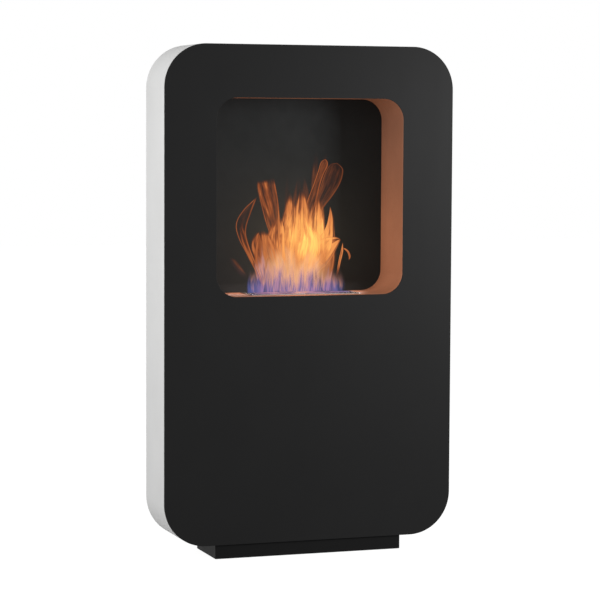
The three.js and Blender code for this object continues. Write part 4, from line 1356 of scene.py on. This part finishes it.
def smoke(mesh):
    """Dull red tips that are about to go out."""
    spines = (
        [(24, 715, 16), (27, 770, 20), (30, 808, 14), (32, 838, 4)],
        [(36, 770, 14), (44, 804, 12), (50, 828, 3)],
        [(-36, 690, 18), (-37, 740, 14), (-36, 792, 3)],
        [(-14, 700, 26), (-11, 745, 20), (-8, 782, 5)],
        [(10, 700, 26), (8, 745, 20), (4, 780, 5)],
    )
    for spine in spines:
        tongue(mesh, spine, chance.uniform(*FLAME_DEPTH), (0.3, 0.1), 0, 0.3, (0.3, 0.6), 4, 6)


def flame():
    """Alcohol flame: blue at its foot, a bright core, and thin curling sheets round it."""

    def build(mesh):
        for part in (curtains, columns, body, leaf_and_ribbon, tall_tips, shoulders, curls, smoke):
            part(mesh)

    made = piece("flame", build, flame_material())
    made.data.shade_smooth()
    made.visible_shadow = False  # a flame lets other light through
    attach(made, "burner")
    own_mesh(made)


flame()

# ---------------------------------------------------------------- floor and light

WHITE = (1, 1, 1)
FLOOR_HALF = 12.0
FLOOR_DROP = 0.2 * MM  # under the feet
FLOOR_GREY = (0.22, 0.22, 0.22)
FLOOR_CLOUDS = (0.2, 0.2, 0.2)
FLOOR_DIRECT = 0.93  # what the camera sees of the floor before the lamps' light
SOFT_LIGHT = 0.35  # of the world


def seen_directly(shader):
    """1 where the camera, or a mirror or glass, looks at the surface, and 0 for soft light."""
    path = shader.add("ShaderNodeLightPath").outputs
    metal_or_glass = shader.maths("MAXIMUM", path["Is Glossy Ray"], path["Is Transmission Ray"])
    return shader.maths("MAXIMUM", path["Is Camera Ray"], metal_or_glass)


def floor_material():
    """Pale to the camera, grey in the light that it throws back, and clear from below."""
    finish = Finish("floor")
    direct = seen_directly(finish)
    tone = finish.mixed(finish.spread(finish.noise(3, 2), 0, 1), FLOOR_GREY, FLOOR_CLOUDS)
    finish.set(Base_Color=finish.mixed(direct, tone, FLOOR_GREY), Roughness=1.0, Specular_IOR_Level=0.0)
    finish.set(Emission_Color=(*WHITE, 1), Emission_Strength=finish.times(direct, FLOOR_DIRECT))
    from_below = finish.add("ShaderNodeNewGeometry").outputs["Backfacing"]
    finish.set(Alpha=finish.maths("SUBTRACT", 1.0, from_below))
    return finish.material


def add_floor():
    def build(mesh):
        corners = [(-1, -1), (1, -1), (1, 1), (-1, 1)]
        mesh.faces.new(ring(mesh, [(x * FLOOR_HALF, y * FLOOR_HALF, -FLOOR_DROP) for x, y in corners]))

    floor = piece("floor", build, floor_material())


def add_world():
    """Soft light from all round, and white where it is seen directly."""
    world = bpy.data.worlds.new("studio")
    sky = Shader(world, "Background")
    sky.set(Color=(*WHITE, 1), Strength=sky.spread(seen_directly(sky), SOFT_LIGHT, 1.0, 0, 1))
    bpy.context.scene.world = world


def lamp(name, kind, place, power, colour):
    """A lamp that the camera doesn't see."""
    data = bpy.data.lights.new(name, kind)
    data.energy = power
    data.color = colour
    made = bpy.data.objects.new(name, data)
    made.location = place
    made.visible_camera = False
    bpy.context.scene.collection.objects.link(made)
    return made


def area_lamp(name, place, target, size, power, colour=WHITE):
    made = lamp(name, "AREA", place, power, colour)
    made.data.shape = "RECTANGLE"
    made.data.size, made.data.size_y = size
    made.rotation_euler = (Vector(target) - Vector(place)).to_track_quat("-Z", "Y").to_euler()


def glow_lamp(name, place, radius, power, colour):
    """The light that the flame throws on the firebox."""
    made = lamp(name, "POINT", place, power, colour)
    made.data.shadow_soft_size = radius
    made.visible_glossy = False


add_floor()
add_world()
area_lamp("left_window", place=(-1.75, -0.7, 0.95), target=(-0.3, 0, 0.75), size=(0.6, 0.6), power=21)
area_lamp("right_softbox", place=(1.3, -1.15, 0.9), target=(0.2, 0, 0.65), size=(0.6, 0.6), power=30)
area_lamp(
    "flame_foot", place=(0, 0.025, 0.552), target=(0, 0.03, 0.5), size=(0.3, 0.02), power=0.1,
    colour=(1.0, 0.8, 0.75),
)
glow_lamp("flame_glow", place=(0.0, -0.018, 0.635), radius=0.05, power=1.55, colour=(1.0, 0.72, 0.45))

scene = bpy.context.scene
scene.view_settings.view_transform = "Standard"
scene.cycles.transparent_max_bounces = 32  # the flame's sheets lie one behind another
